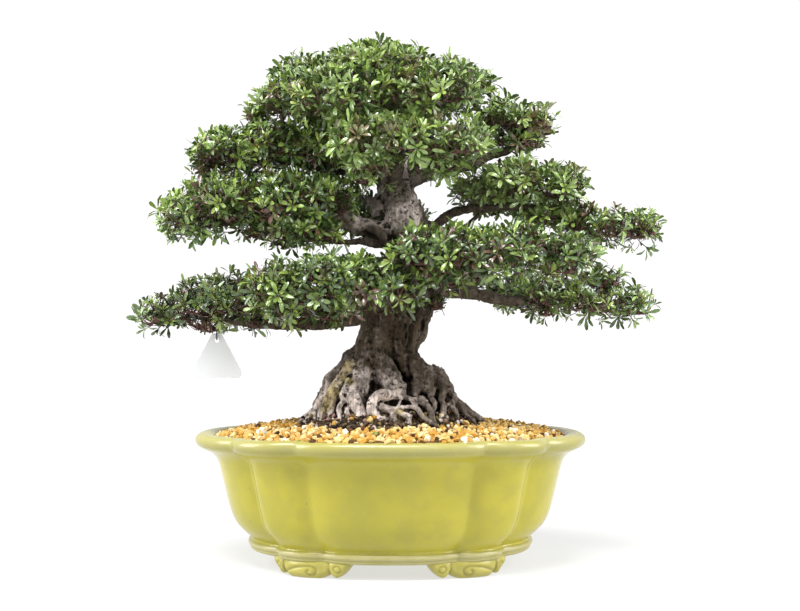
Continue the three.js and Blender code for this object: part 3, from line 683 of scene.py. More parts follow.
FRONT_ROOTS = [
    seen((383, 296, -4, 31), (384, 312, -4, 31), (381, 331, -5, 29), (377, 344, -6, 28.5), (373, 356, -8, 28),
         (371, 366, -12, 26), (373, 377, -16, 22)),
    # the big leg at the front left
    seen((366, 364, -22, 16), (361, 377, -38, 13.5), (358, 388, -52, 12), (354, 397, -62, 11.5),
         (357, 405, -68, 9), (361, 413, -74, 7), (364, 421, -80, 6.4), (367, 434, -86, 6)),
    # the shield beside the diagonal groove
    seen((376, 360, -18, 20), (383, 370, -29, 18.5), (390, 379, -38, 16), (396, 386, -45, 12.5),
         (403, 390, -50, 9)),
    # the loop and what stands below it
    seen((404, 392, -56, 6), (399, 394, -62, 7), (391, 394, -67, 7.6), (382, 395, -71, 7.8),
         (375, 399, -75, 8), (372, 406, -78, 8), (373, 413, -80, 7.6), (377, 420, -84, 7),
         (379, 434, -90, 6)),
    seen((379, 408, -74, 5.5), (386, 409, -77, 6), (394, 411, -80, 5.4), (403, 414, -84, 4.4),
         (412, 418, -88, 4)),
    seen((391, 411, -80, 3.4), (393, 417, -86, 4.2), (396, 425, -90, 4.4), (400, 437, -94, 4)),
    seen((383, 417, -84, 3.6), (386, 422, -88, 4.6), (390, 428, -91, 4.8), (393, 438, -94, 4)),
    # crossing roots, front right
    seen((400, 392, -58, 4.4), (405, 396, -64, 3.8), (411, 399, -69, 3.4), (417, 400, -73, 3.6),
         (424, 404, -77, 4), (430, 409, -81, 4.2), (432, 417, -85, 4), (436, 430, -90, 3.4)),
    seen((396, 408, -78, 2.6), (403, 407, -81, 3), (411, 406, -83, 3), (417, 409, -86, 3.2),
         (421, 415, -89, 3.6), (427, 420, -92, 4), (434, 423, -94, 4), (442, 434, -97, 3.4)),
    seen((398, 408, -80, 2.2), (402, 413, -84, 2.6), (407, 418, -88, 2.8), (410, 425, -92, 2.8),
         (413, 436, -94, 2.6)),
    seen((412, 399, -70, 2.6), (414, 405, -76, 2.6), (419, 410, -82, 2.4)),
    seen((404, 396, -64, 2.6), (401, 401, -70, 2.4), (397, 407, -76, 2.4)),
    seen((419, 396, -62, 3), (424, 399, -68, 2.6), (428, 404, -74, 2.2)),
    # the right buttress and the ridges on it
    seen((409, 350, -4, 9), (421, 369, -9, 11), (434, 375, -15, 12.5), (443, 384, -21, 11.5),
         (447, 394, -27, 10.5), (455, 403, -33, 8.5), (466, 411, -37, 7), (477, 417, -39, 5.5),
         (486, 426, -40, 4)),
    seen((430, 368, 0, 9), (440, 377, -2, 8), (447, 387, -6, 8), (451, 398, -10, 6.4), (459, 407, -14, 5.6),
         (467, 416, -16, 4.6), (476, 426, -18, 4)),
    seen((410, 358, -12, 10), (419, 366, -24, 11), (426, 375, -33, 12.5), (427, 386, -41, 10.5),
         (433, 392, -45, 6.5)),
    seen((421, 384, -38, 9), (416, 391, -42, 7), (414, 398, -46, 5)),
    seen((432, 378, -28, 9), (440, 384, -36, 8.5), (443, 391, -42, 6), (441, 400, -48, 4.4),
         (444, 409, -54, 4), (441, 420, -58, 3.4), (444, 434, -62, 3)),
    seen((434, 388, -42, 5), (431, 396, -49, 4.2), (435, 403, -55, 3.6), (432, 412, -60, 3)),
    seen((448, 390, -34, 5), (455, 397, -42, 4), (452, 406, -48, 3.4), (457, 414, -54, 3.2),
         (456, 430, -58, 2.8)),
    seen((454, 399, -32, 5), (462, 405, -42, 4), (465, 413, -48, 3.2), (473, 420, -52, 3),
         (478, 432, -54, 2.4)),
    seen((444, 380, -24, 8), (449, 384, -22, 7)),
    seen((414, 362, -24, 6), (412, 370, -32, 5), (417, 378, -38, 5.5), (413, 386, -42, 5)),
    seen((453, 400, -44, 2), (449, 403, -50, 2), (446, 408, -54, 1.9), (447, 416, -57, 1.8),
         (446, 428, -60, 1.8)),
    # the left ridge, the mossy root in front of it and its fingers
    seen((358, 350, -6, 10), (349, 359, -12, 11), (345, 368, -16, 9.5), (338, 375, -20, 10),
         (331, 381, -24, 12), (328, 392, -30, 9.4),
         (321, 401, -36, 8.4), (317, 409, -40, 7.4), (314, 418, -44, 6.4), (312, 430, -48, 5)),
    seen((320, 404, -28, 6), (311, 414, -30, 5), (302, 420, -32, 4), (292, 428, -32, 3)),
    seen((353, 362, -27, 10.5), (345, 376, -38, 10), (338, 387, -47, 9.5), (331, 397, -53, 8),
         (326, 406, -57, 7), (323, 415, -61, 6), (321, 428, -66, 5)),
    seen((350, 379, -50, 4.4), (345, 387, -59, 4.2), (342, 394, -64, 3.8), (343, 401, -68, 3.5),
         (339, 408, -71, 3.4), (340, 416, -75, 3.4), (338, 424, -79, 3.2), (337, 436, -84, 2.8)),
    seen((343, 389, -58, 3.4), (348, 393, -63, 3.8), (351, 399, -66, 3.8)),
    seen((334, 397, -56, 4.4), (332, 408, -63, 4.2), (329, 417, -68, 3.8), (328, 430, -72, 3)),
    seen((350, 404, -66, 3), (348, 412, -73, 3.2), (350, 420, -79, 3.4), (348, 434, -86, 3)),
    seen((358, 414, -74, 3), (355, 421, -80, 3.4), (354, 434, -86, 3)),
    # strands of the second stem
    seen((398, 296, -14, 12), (398, 320, -18, 11.5), (398, 338, -19, 10), (400, 352, -17, 8.6),
         (404, 364, -15, 8.4), (410, 376, -14, 8.4)),
    seen((410, 296, -10, 13), (413, 315, -14, 12), (413, 330, -14, 10.5), (409, 343, -12, 9.4),
         (410, 355, -10, 9.4), (419, 367, -12, 9.4)),
    seen((422, 296, -2, 13.5), (422, 315, -4, 11.5), (422, 330, -5, 10), (415.5, 342, -5, 9),
         (411.5, 352, -3, 8.6)),
]
BRANCHES = [
    [(-8, 0, 326, 15), (-50, -6, 313, 11), (-90, -10, 307, 8.5), (-120, -12, 305, 7.5), (-178, -14, 307, 6.5),
     (-246, -14, 316, 5), (-290, -14, 314, 3)],
    [(8, -4, 425, 17), (-24, -12, 428, 14), (-50, -20, 436, 13), (-84, -26, 441, 10), (-120, -28, 438, 8),
     (-160, -30, 436, 7), (-205, -30, 436, 6), (-262, -30, 430, 4)],
    [(10, -10, 408, 10), (-20, -22, 409, 6), (-44, -26, 411, 4.5), (-90, -30, 413, 4), (-150, -34, 418, 3)],
    [(0, 4, 494, 12), (-30, 6, 500, 8), (-62, 8, 506, 6.5), (-100, 10, 511, 6), (-136, 10, 520, 5),
     (-190, 10, 522, 4), (-250, 6, 510, 2.5)],
    [(2, 0, 484, 15), (38, -4, 497, 10), (103, -4, 512, 7.5), (124, 0, 524, 6.5), (150, 4, 531, 5.5),
     (172, 6, 544, 4.5), (193, 6, 552, 3.5), (222, 6, 558, 2.5)],
    [(18, 0, 412, 13), (50, 0, 431, 8.5), (66, 0, 441, 7.5), (86, 0, 453, 6.5), (124, 0, 457, 6),
     (157, 0, 459, 5.5), (190, 0, 457, 5), (221, 0, 451, 4.5), (254, 0, 437, 4), (297, 0, 430, 3),
     (330, 0, 424, 2.5)],
    [(14, -2, 364, 17), (60, -10, 364, 11), (96, -16, 351, 9), (122, -18, 341, 9), (150, -16, 337, 8.5),
     (190, -4, 338, 7), (260, 2, 336, 4.5), (310, 0, 332, 3)],
    [(-16, -8, 336, 8), (-56, -20, 328, 5.5), (-92, -24, 316, 4.5), (-136, -18, 306, 4), (-196, -14, 312, 3)],
    [(-6, 2, 322, 8), (-46, 8, 317, 5), (-84, 2, 302, 4.2), (-130, 4, 305, 3.2), (-170, -4, 312, 2.4)],
    [(-60, -18, 329, 3.2), (-78, -30, 334, 2.6), (-104, -34, 324, 2.2), (-130, -30, 326, 1.8)],
    [(4, -10, 345, 13), (-24, -70, 350, 8), (-84, -94, 350, 5)],
    [(18, -10, 366, 13), (44, -72, 384, 8), (140, -92, 388, 5)],
    [(6, -6, 470, 12), (8, -60, 506, 8), (22, -88, 520, 5)],
    [(12, 12, 352, 13), (10, 78, 362, 9), (-24, 128, 366, 6)],
    [(4, 44, 354, 8), (-80, 92, 340, 6), (-140, 110, 338, 4)],
    [(10, 50, 356, 8), (100, 92, 346, 6), (168, 112, 346, 4)],
    [(12, 8, 420, 12), (-6, 74, 440, 8), (-34, 118, 446, 5)],
    [(-2, 60, 436, 7), (-100, 84, 462, 5), (-168, 98, 466, 4)],
    [(10, 28, 404, 9), (56, 56, 418, 6.5), (98, 84, 438, 5), (136, 106, 472, 4)],
    [(4, 6, 500, 11), (10, 74, 524, 7), (8, 102, 530, 5)],
]
KNOBS = [
    [(-30, -24, 434, 9), (-16, -34, 424, 6), (-8, -36, 414, 5.5), (-12, -30, 406, 5), (4, -22, 408, 7)],
    [(-46, -26, 436, 10), (-60, -32, 446, 9), (-74, -30, 440, 8)],
    [(8, -26, 446, 14), (-2, -30, 432, 12)],
    [(30, -22, 432, 12), (34, -26, 416, 11)],
    [(-12, -6, 452, 13), (-26, -4, 466, 7), (-40, -4, 474, 3)],
]


def noise_at(points, octaves=2):
    """Noise from about -1 to 1 at each point."""
    return np.array([noise.fractal(Vector(p), 0.9, 2.0, octaves) for p in points])


def tube(points, sides=14, step=5.0):
    """A round tube with closed ends through points x, y, z, radius, with a limb's knots and bends."""
    points = np.asarray(points, dtype=float)
    longest = np.linalg.norm(np.diff(points[:, :3], axis=0), axis=1).max()
    line = smooth_route(points, max(3, int(longest / step)))
    centre, radius = line[:, :3], line[:, 3]
    slender = fade(radius, 20, -8)
    radius = radius * (0.97 + 0.22 * slender * noise_at(centre / 13 + 2.0))
    wander = np.column_stack([noise_at(centre / 17 + shift) for shift in (5.0, 9.0, 14.0)])
    centre = centre + wander * (1.7 * slender)[:, None]
    along = np.gradient(centre, axis=0)
    along /= np.linalg.norm(along, axis=1)[:, None]
    across = np.cross(along[0], (0.3, 1.0, 0.2))
    turn = full_turn(sides)
    rings = []
    for c, r, d in zip(centre, radius, along):
        across = across - d * (across @ d)
        across /= np.linalg.norm(across)
        rings.append(c + r * (np.cos(turn)[:, None] * across + np.sin(turn)[:, None] * np.cross(d, across)))
    return np.vstack(rings), ring_faces(len(rings), sides, capped=True)


print("limbs:", len(STEMS), "stems,", len(BACK_ROOTS) + len(FRONT_ROOTS), "roots,", len(BRANCHES), "branches")

# %% Tree: rootlets
def rootlets(count, chance):
    """Thin roots that wander down the skirt of the trunk, round its sides and back."""
    lines = []
    for i in range(count):
        angle = math.pi * (-0.12 + 1.24 * (i + chance.random()) / count)
        top, reach = chance.uniform(205, 244), chance.uniform(0.93, 1.02)
        line = []
        for step in range(6):
            share = step / 5
            z = top + (166 - top) * share
            skirt = 64 + 36 * (1 - fade(z, 185, 60)) ** 1.2
            angle += chance.uniform(-0.09, 0.09)
            x, y = skirt * math.cos(angle) * reach - 4, skirt * math.sin(angle) * reach * 0.86
            line.append((x, y, z, chance.uniform(2.6, 4.4) * (1 - 0.35 * share)))
        lines.append(line)
    return lines


ROOTLETS = rootlets(28, random.Random(3))
ROOTLETS += [seen((428, 298, -24, 1.7), (424, 312, -25, 1.6), (418, 328, -25, 1.6), (413, 344, -22, 1.5)),
             seen((418, 298, -28, 1.8), (419, 314, -28, 1.7), (414, 330, -27, 1.6), (411, 346, -23, 1.5)),
             seen((410, 300, -30, 1.8), (406, 316, -31, 1.7), (408, 332, -29, 1.6), (404, 350, -27, 1.5)),
             seen((402, 298, -30, 1.8), (404, 318, -31, 1.8), (400, 336, -30, 1.6), (402, 352, -27, 1.5)),
             seen((434, 300, -16, 1.6), (429, 316, -18, 1.6), (424, 330, -16, 1.5), (418, 340, -12, 1.4)),
             seen((396, 304, -30, 1.7), (412, 322, -30, 1.6), (420, 336, -20, 1.5)),
             seen((424, 304, -26, 1.6), (408, 326, -31, 1.6), (398, 344, -28, 1.5))]
print("rootlets:", len(ROOTLETS))

# %% Tree: fuse and smooth
ROOT_END = 150.0  # no root goes deeper in the soil than this height, in millimetres
SEAM = 318  # the trunk's foot ends above this height and the crown's wood begins there


def cut_line(line, low, high):
    """The part of a limb between two heights."""
    path = smooth_route(line, 6)
    return path[(path[:, 2] >= low) & (path[:, 2] <= high)]


def fused(name, lines, voxel, soft_steps):
    """Wood grown together from limbs: tubes, fused by a voxel remesh and smoothed."""
    points, faces = joined(*[tube(line) for line in lines if len(line) > 2])
    points[:, 2] = np.maximum(points[:, 2], ROOT_END)
    wood = new_piece(name, in_place(points), faces)
    fuse = wood.modifiers.new("fuse", "REMESH")
    fuse.mode, fuse.voxel_size, fuse.adaptivity = "VOXEL", voxel, 0.0
    soften = wood.modifiers.new("soften", "SMOOTH")
    soften.factor, soften.iterations = 0.5, soft_steps
    keep_modified(wood)
    print(name, "triangles:", triangles(wood))
    return wood


foot_lines = CORE + FRONT_ROOTS + BACK_ROOTS + ROOTLETS
crown_lines = [cut_line(line, SEAM, 999) for line in STEMS] + BRANCHES + KNOBS
trunk_foot = fused("trunk_and_roots", foot_lines, 0.0017, 1)
crown_wood = fused("upper_trunk_and_branches", crown_lines, 0.0026, 2)

# %% [markdown]
# ## The bark's relief
# Old azalea wood is fluted: the roots' strands run up into the trunk, with narrow dark seams between
# them, and fine cracks cover the rest. The points are pushed in and out along their normals by noise
# that is stretched along the grain. How hollow each place is, for painted shade, how mossy, how pale in
# its own colour and in painted light, how much paler from wear and a painted highlight, and where
# painted shadow falls, is stored for the material.

# %% Tree: relief
def mesh_arrays(mesh):
    points = np.empty(len(mesh.vertices) * 3, dtype=np.float32)
    normals = np.empty(len(mesh.vertices) * 3, dtype=np.float32)
    mesh.vertices.foreach_get("co", points)
    mesh.vertex_normals.foreach_get("vector", normals)
    return points.reshape(-1, 3).astype(float), normals.reshape(-1, 3).astype(float)


def spread_out(values, ends, times):
    """Averages each point's values with its neighbours', so many times."""
    count = np.bincount(ends.ravel(), minlength=len(values))[:, None]
    for _ in range(times):
        total = np.zeros_like(values)
        np.add.at(total, ends[:, 0], values[ends[:, 1]])
        np.add.at(total, ends[:, 1], values[ends[:, 0]])
        values = 0.5 * values + 0.5 * total / count
    return values


def near_line(points, start, end, reach):
    """1 on a line between two places, in millimetres from the pot's middle, and 0 beyond its reach."""
    a, b = (in_place(np.array(p)) for p in (start, end))
    share = np.clip(((points - a) @ (b - a)) / max((b - a) @ (b - a), 1e-9), 0, 1)
    away = np.linalg.norm(points - (a + share[:, None] * (b - a)), axis=1)
    return np.clip(1 - away / (reach * MM), 0, 1)


def girth_map():
    """A search tree of the limbs' middle lines, with each spot's radius and how upright it runs."""
    limbs = STEMS + CORE + FRONT_ROOTS + BACK_ROOTS + BRANCHES
    skeleton, found = kdtree.KDTree(6000), []
    for line in limbs:
        path = smooth_route(line, 10)
        heading = np.gradient(path[:, :3], axis=0)
        heading /= np.linalg.norm(heading, axis=1)[:, None]
        for spot, direction in zip(path, heading):
            skeleton.insert(Vector(in_place(spot[:3])), len(found))
            found.append((spot[3], abs(direction[2])))
    skeleton.balance()
    return skeleton, np.array(found)


skeleton, limb_facts = girth_map()


def carve_bark(wood):
    """Moves the points of the wood in and out: flutes, strands, lumps and crumbs."""
    points, normals = mesh_arrays(wood.data)
    edges = np.array([edge.vertices[:] for edge in wood.data.edges])
    facts = limb_facts[[skeleton.find(Vector(p))[1] for p in points]]
    girth, upright = spread_out(facts, edges, 12).T
    local = points - POT_MIDDLE
    swirl = local[:, 2] * 4.0  # the grain turns round the trunk as it rises
    turned = np.column_stack([local[:, 0] * np.cos(swirl) - local[:, 1] * np.sin(swirl),
                              local[:, 0] * np.sin(swirl) + local[:, 1] * np.cos(swirl), local[:, 2]])
    mixed = np.clip((upright - 0.35) * 3, 0, 1)[:, None]
    grain = turned * (1.0, 1.0, 0.22) * mixed + local * (0.25, 1.0, 1.0) * (1 - mixed)
    flute = 0.6 - 2.2 * np.abs(noise_at(grain / 0.026))
    strand = 0.6 - 2.2 * np.abs(noise_at(grain / 0.010 + 7.0))
    crumb, lump = noise_at(local / 0.0050, 3), noise_at(local / 0.040 + 3.0)
    bump = noise_at(local / 0.013 + 17.0)
    amount = np.clip(girth / 30, 0.15, 1.0)
    fluted = fade(local[:, 2] * 1000, 215, 25) * 0.45 + 0.55
    push = amount * (1.7 * flute * fluted + 2.0 * lump + 1.1 * crumb) \
        + np.clip(girth / 18, 0.4, 1) * (0.9 * strand + 1.3 * crumb + 0.9 * bump) - 0.4
    points = points + normals * (push * MM)[:, None]
    wood.data.vertices.foreach_set("co", points.astype(np.float32).ravel())
    wood.data.update()
    return edges, girth


# %% Tree: where it is hollow and painted with shade, mossy, pale or painted with light, and where shadow is painted
def seen_places(*places):
    """Lines from a start to an end, each as column, row and depth, with their reach in millimetres."""
    return [(seen((*start, 0))[0, :3], seen((*end, 0))[0, :3], reach) for start, end, reach in places]


MOSSY = seen_places(
    ((350, 362, -40), (324, 400, -62), 26), ((446, 382, -20), (455, 397, -24), 9),
    ((386, 384, -62), (398, 388, -62), 8), ((360, 424, -90), (376, 426, -92), 12),
    ((384, 408, -76), (398, 413, -84), 10), ((402, 410, -84), (408, 420, -88), 6),
    ((322, 398, -50), (334, 394, -60), 10), ((345, 378, -50), (352, 384, -58), 8),
    ((330, 404, -60), (326, 418, -66), 8))
MOSSY += [((40, 60, 250), (70, 70, 200), 24), ((-50, 60, 250), (-70, 74, 200), 24)]
# gaps between the stems and roots, where painted shadow darkens the bark
SHADOWED_GAPS = seen_places(
    ((366, 338, -36), (378, 352, -40), 26), ((408, 306, -30), (404, 366, -26), 36),
    ((372, 322, -36), (378, 350, -40), 36), ((422, 378, -44), (440, 390, -42), 15))


MARKS = ("hollow_shade", "moss", "pale_and_painted_light", "muck", "painted_shadow", "limb", "worn_and_highlit")


def mark_bark(wood, edges, girth):
    """Stores each point's hollowness for painted shade, wear and painted highlight, moss, paleness and
    painted light, painted shadow, muck, and if it is a thin limb.
    """
    points, normals = mesh_arrays(wood.data)
    local = points - POT_MIDDLE
    x, y, z = local.T
    near = ((spread_out(points, edges, 6) - points) * normals).sum(axis=1)
    wide = ((spread_out(points, edges, 60) - points) * normals).sum(axis=1)
    # how hollow each point is; the material darkens the hollows as painted shade
    hollow_shade = np.clip(near / 0.0009, -0.4, 1) * 0.55 + np.clip((wide - 0.0002) / 0.0024, -0.3, 1)
    patch = 0.5 + 0.5 * noise_at(local / 0.012 + 11.0, 3)
    moss = sum(near_line(points, *place) for place in MOSSY)
    ragged = 0.5 + 0.5 * noise_at(local / 0.0045 + 19.0, 3)
    moss = np.clip(moss * (1.6 * patch + 1.8 * ragged) - 0.68, 0, 1) * np.clip(1.2 - hollow_shade * 0.5, 0, 1)
    # Paler: the low roots at the front, more so to the left, and the thick wood of the upper trunk; partly
    # their own colour, partly painted light on the lit left side and on the upper trunk in the crown's shade
    pale_and_painted_light = fade(z, 0.275, -0.03) * fade(y, -0.02, -0.03)
    pale_and_painted_light = pale_and_painted_light * np.clip((0.026 - x) / 0.02 + fade(y, -0.062, -0.008), 0, 1)
    pale_and_painted_light = pale_and_painted_light * (0.82 + 0.6 * fade(x, 0, -0.035))
    pale_and_painted_light = np.maximum(pale_and_painted_light, 1.7 * fade(z, 0.38, 0.03) * np.clip((girth - 8) / 8, 0.1, 1))
    hollow_shade = np.clip(hollow_shade, 0, 1)
    muck = np.clip((0.190 + 0.022 * hollow_shade - z) / 0.008 + 1.4 * (patch - 0.7), 0, 1)
    # painted shadow along those gaps
    painted_shadow = np.clip(2.3 * sum(near_line(points, *place) for place in SHADOWED_GAPS) * (0.4 + patch), 0, 1)
    limb = fade(girth, 16, -6) * fade(z, 0.29, 0.01)
    # convex ridges, painted paler: partly wear, partly a painted highlight
    worn_and_highlit = fade(near, 0, -0.0010)
    for name, values in zip(MARKS, (hollow_shade, moss, pale_and_painted_light, muck, painted_shadow, limb, worn_and_highlit)):
        keep_numbers(wood, name, values)
    smooth_all(wood)
    print(wood.name, "points:", len(points), "mossy share:", round(float((moss > 0.3).mean()), 3))


for wood in (trunk_foot, crown_wood):
    mark_bark(wood, *carve_bark(wood))

# %% [markdown]
# ## The bark's finish
# The trunk is a dry grey brown with darker patches, and the old roots are paler and a little pink.
# The low roots at the front left and the thick upper trunk are painted paler still as painted light, and
# the ridges are paler from wear and a painted highlight. Seams along the grain are nearly black, the
# hollows are darkened nearly to black as painted shade, and painted shadow darkens the gaps between
# the stems and roots. Moss grows olive on the ridges that stay damp, and soil clings to the foot. Fine
# fibres and pits are relief in the shader, too small for the mesh.

# %% Bark material
NEARLY_BLACK = (0.05, 0.04, 0.028)


def bark_finish(name):
    bark, shader, wire = start_finish(name, 0.85, Specular_IOR_Level=0.08)
    place = place_on(wire)
    fibre = mottle(place_on(wire, (1.0, 1.0, 0.16)), 0.0022, 4.0, 0.6)
    runs = mottle(place_on(wire, (1.0, 1.0, 0.14)), 0.006, 4.0, 0.6)
    pits, blots = mottle(place, 0.0035, 4.0, 0.65), mottle(place, 0.011, 4.0, 0.65)
    patches = mottle(place, 0.03)
    hollow_shade, moss, pale_and_painted_light, muck, painted_shadow, limb, worn_and_highlit = (stored(wire, mark) for mark in MARKS)
    colour = patches.ramp(0.35, 0.68).mix((0.13, 0.10, 0.08), (0.30, 0.245, 0.205))
    # paler roots and upper trunk: partly their own colour, partly painted light
    colour = (pale_and_painted_light * patches.ramp(0.25, 0.6, 0.55, 0.95)).mix(colour, (0.86, 0.74, 0.67))
    colour = blots.ramp(0.38, 0.54, 0.75, 0.0).mix(colour, (0.07, 0.055, 0.040))
    # ridges paler: partly wear, partly a painted highlight
    colour = (worn_and_highlit * blots.ramp(0.35, 0.6, 0.2, 0.75)).mix(colour, (0.56, 0.48, 0.44))
    colour = (limb * 0.85).mix(colour, patches.mix(NEARLY_BLACK, (0.15, 0.12, 0.085)))
    colour = (runs.ramp(0.42, 0.58, 0.55, 0.0) * pale_and_painted_light.ramp(0.2, 1.0, 1.0, 0.3)).mix(colour, NEARLY_BLACK)
    # painted shadow in the gaps between the stems and roots
    gap_shadow_colour = patches.ramp(0.3, 0.7).mix((0.020, 0.015, 0.009), (0.085, 0.066, 0.038))
    colour = (painted_shadow * runs.ramp(0.35, 0.62, 1.0, 0.55)).mix(colour, gap_shadow_colour)
    colour = (fibre.ramp(0.35, 0.6, 0.55, 0.0)).mix(colour, (0.05, 0.038, 0.03))
    colour = (pits.ramp(0.34, 0.48, 0.9, 0.0)).mix(colour, (0.022, 0.016, 0.012))
    colour = (pits.ramp(0.6, 0.75, 0.0, 0.35)).mix(colour, (0.42, 0.37, 0.33))
    colour = (moss * 0.9).mix(colour, pits.ramp(0.35, 0.65).mix((0.085, 0.065, 0.026), (0.52, 0.42, 0.20)))
    # hollows darkened nearly to black: painted shade
    colour = (hollow_shade.ramp(0.05, 0.85) * 0.93).mix(colour, (0.014, 0.011, 0.008))
    colour = (muck * 0.9).mix(colour, pits.ramp(0.45, 0.7).mix((0.015, 0.011, 0.008), (0.10, 0.08, 0.055)))
    relief = fibre * 0.6 + pits * 0.7 + moss * mottle(place, 0.0016) * 1.2
    finish_with(shader, wire, colour=colour, roughness=pits.ramp(0.3, 0.7, 0.7, 0.95),
                relief=relief, height=0.0014)
    return bark


bark = bark_finish("bark")
for wood in (trunk_foot, crown_wood):
    wood.data.materials.clear()
    wood.data.materials.append(bark)
    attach(wood, "root")
    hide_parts("tree")

# %% [markdown]
# ## The bed of grains
# The top dressing is a heap of porous, pale orange grains 5 to 9 mm across, higher round the trunk.
# Below it a dark bed fills the gaps between grains with painted shade. The bed follows the pot's own
# plan, and it rises round the trunk's foot into a crust of soil and old moss where few grains lie. At
# the front it covers half of the lip.

# %% Grain bed
BED_SIDES = 96
BED_WIDTH = 221  # half of the pot's inside width at the heap, in millimetres
FRONT_REACH, FRONT_RISE = 17, 7.5  # how much further out and up the heap lies at the front
CRUST_HEIGHT, CRUST_LUMPS = 11, 8


def heap_height(share):
    """Height in millimetres over the inside width of the pot, from 0 in the middle to 1 at the wall."""
    return 160 + 23 * np.cos(np.pi / 2 * np.clip(share, 0, 1)) ** 0.6


def crust_edge(x, y):
    """How far out the crust of soil reaches, as a share: further at the front and left of the trunk."""
    ahead = np.clip(-y / (np.hypot(x, y) + 1e-6), 0, 1)
    ragged = 0.03 * noise_at(np.column_stack([x, y, np.full(len(x), 9.0)]) / 20, 3)
    return 0.53 + 0.04 * ahead + 0.13 * ahead * fade(x, 25, -50) + ragged


def build_bed():
    angle = full_turn(BED_SIDES)
    rings = []
    front = fade(-np.sin(angle), 0.86, 0.08)
    for width in [*np.linspace(40, 110, 15), *np.linspace(118, 219, 14), 221.5]:
        edge = front * fade(width, 190, 31.5)
        ring = lobed_ring(width + FRONT_REACH * edge, angle, 0.0)
        x, y = ring[:, 0], ring[:, 1]
        z = heap_height(width / BED_WIDTH) + 2.2 * noise_at(ring / 16) + FRONT_RISE * edge
        crust = fade(crust_edge(x, y), np.hypot(x, y / DEPTH_SHARE) / BED_WIDTH, 0.12)
        lumps = noise_at((ring + (0, 0, 1)) / 13, 3)
        z = z + CRUST_HEIGHT * crust + CRUST_LUMPS * crust * lumps
        rings.append(np.column_stack([x, y, z]))
    rings += [lobed_ring(221.5, angle, 150.0), lobed_ring(40, angle, 166.0)]  # the bed's underside
    return np.vstack(rings), [face[::-1] for face in ring_faces(len(rings), BED_SIDES, closed=True)]


bed_points, bed_faces = build_bed()
bed_share = np.hypot(bed_points[:, 0], bed_points[:, 1] / DEPTH_SHARE) / BED_WIDTH
past_crust = bed_share - crust_edge(bed_points[:, 0], bed_points[:, 1])
print("bed faces:", len(bed_faces), "highest:", round(bed_points[:, 2].max(), 1))

# %% [markdown]
# ## The grains
# A few angular grains are modelled once, as cut balls with flat facets. Geometry Nodes scatter them on
# the bed at least half a grain apart, turn and size each one by chance, and give it a number of its
# own that the material turns into a tint.

# %% Grain shapes
def scrap_collection(name, objects):
    """Keeps shapes out of the scene, for a recipe to copy."""
    box = bpy.data.collections.new(name)
    for thing in objects:
        bpy.context.scene.collection.objects.unlink(thing)
        box.objects.link(thing)
    return box


def unit_ball(cuts):
    ball = bmesh.new()
    bmesh.ops.create_icosphere(ball, subdivisions=cuts, radius=1.0)
    points = np.array([v.co for v in ball.verts])
    faces = [tuple(v.index for v in face.verts) for face in ball.faces]
    ball.free()
    return points, faces


chance = random.Random(11)
grain_shapes = []
ball_points, ball_faces = unit_ball(1)
for i in range(7):
    jitter = np.array([[chance.uniform(0.72, 1.2)] for _ in ball_points])
    size = np.array([chance.uniform(4.4, 5.8), chance.uniform(3.5, 4.6), chance.uniform(2.6, 3.6)])
    grain_shapes.append(new_piece(f"grain_{i}", ball_points * jitter * size * MM, ball_faces, smooth=False))
grain_box = scrap_collection("grains", grain_shapes)
print("grain shapes:", len(grain_shapes))

# %% Parts of a recipe that strews copies
ROUND = 6.28  # radians


def pick(wire, low, high, seed, kind="FLOAT"):
    """A chance value for each point or copy."""
    return wire.node("FunctionNodeRandomValue", {"Min": low, "Max": high, "Seed": seed}, data_type=kind)


def strewn_spots(sockets):
    """Points on a surface, at least the spacing apart and fewer where its density is low."""
    ground = sockets["Geometry"]
    share = ground.node("GeometryNodeInputNamedAttribute", {"Name": "density"}, data_type="FLOAT")
    return ground.node("GeometryNodeDistributePointsOnFaces", {
        "Mesh": ground, "Distance Min": sockets["Spacing"], "Density Max": sockets["Per square metre"],
        "Density Factor": share, "Seed": sockets["Seed"]}, distribute_method="POISSON")


def pushed(points, way, distance):
    """The points, moved a distance along a vector."""
    offset = points.node("ShaderNodeVectorMath", {"Vector": way, "Scale": distance}, operation="SCALE")
    return points.node("GeometryNodeSetPosition", {"Geometry": points, "Offset": offset})


def set_copies(points, box, which, turn, size):
    """One of the collection's shapes on each point, with a tint of its own."""
    shapes = points.node("GeometryNodeCollectionInfo", {
        "Collection": box, "Separate Children": True, "Reset Children": True})
    copies = points.node("GeometryNodeInstanceOnPoints", {
        "Points": points, "Instance": shapes, "Pick Instance": True, "Instance Index": which,
        "Rotation": turn, "Scale": size})
    return points.node("GeometryNodeStoreNamedAttribute", {
        "Geometry": copies, "Name": "tint", "Value": pick(points, 0.0, 1.0, 13)},
        data_type="FLOAT", domain="INSTANCE")


# %% Scatter the grains
def scatter_recipe(name, box, material, sizes):
    """Copies of a collection's shapes, strewn on a surface and turned any way."""
    tree, sockets = start_recipe(name, sizes)
    spots = strewn_spots(sockets)
    placed = pushed(spots, spots.beside("Normal"), pick(spots, sockets["Lowest"], sockets["Highest"], 3))
    turn = pick(spots, (0.0, 0.0, 0.0), (ROUND, ROUND, ROUND), 7, "FLOAT_VECTOR")
    size = pick(spots, sockets["Smallest"], sockets["Largest"], 9)
    end_recipe(set_copies(placed, box, pick(spots, 0, 50, 5, "INT"), turn, size), material)
    return tree


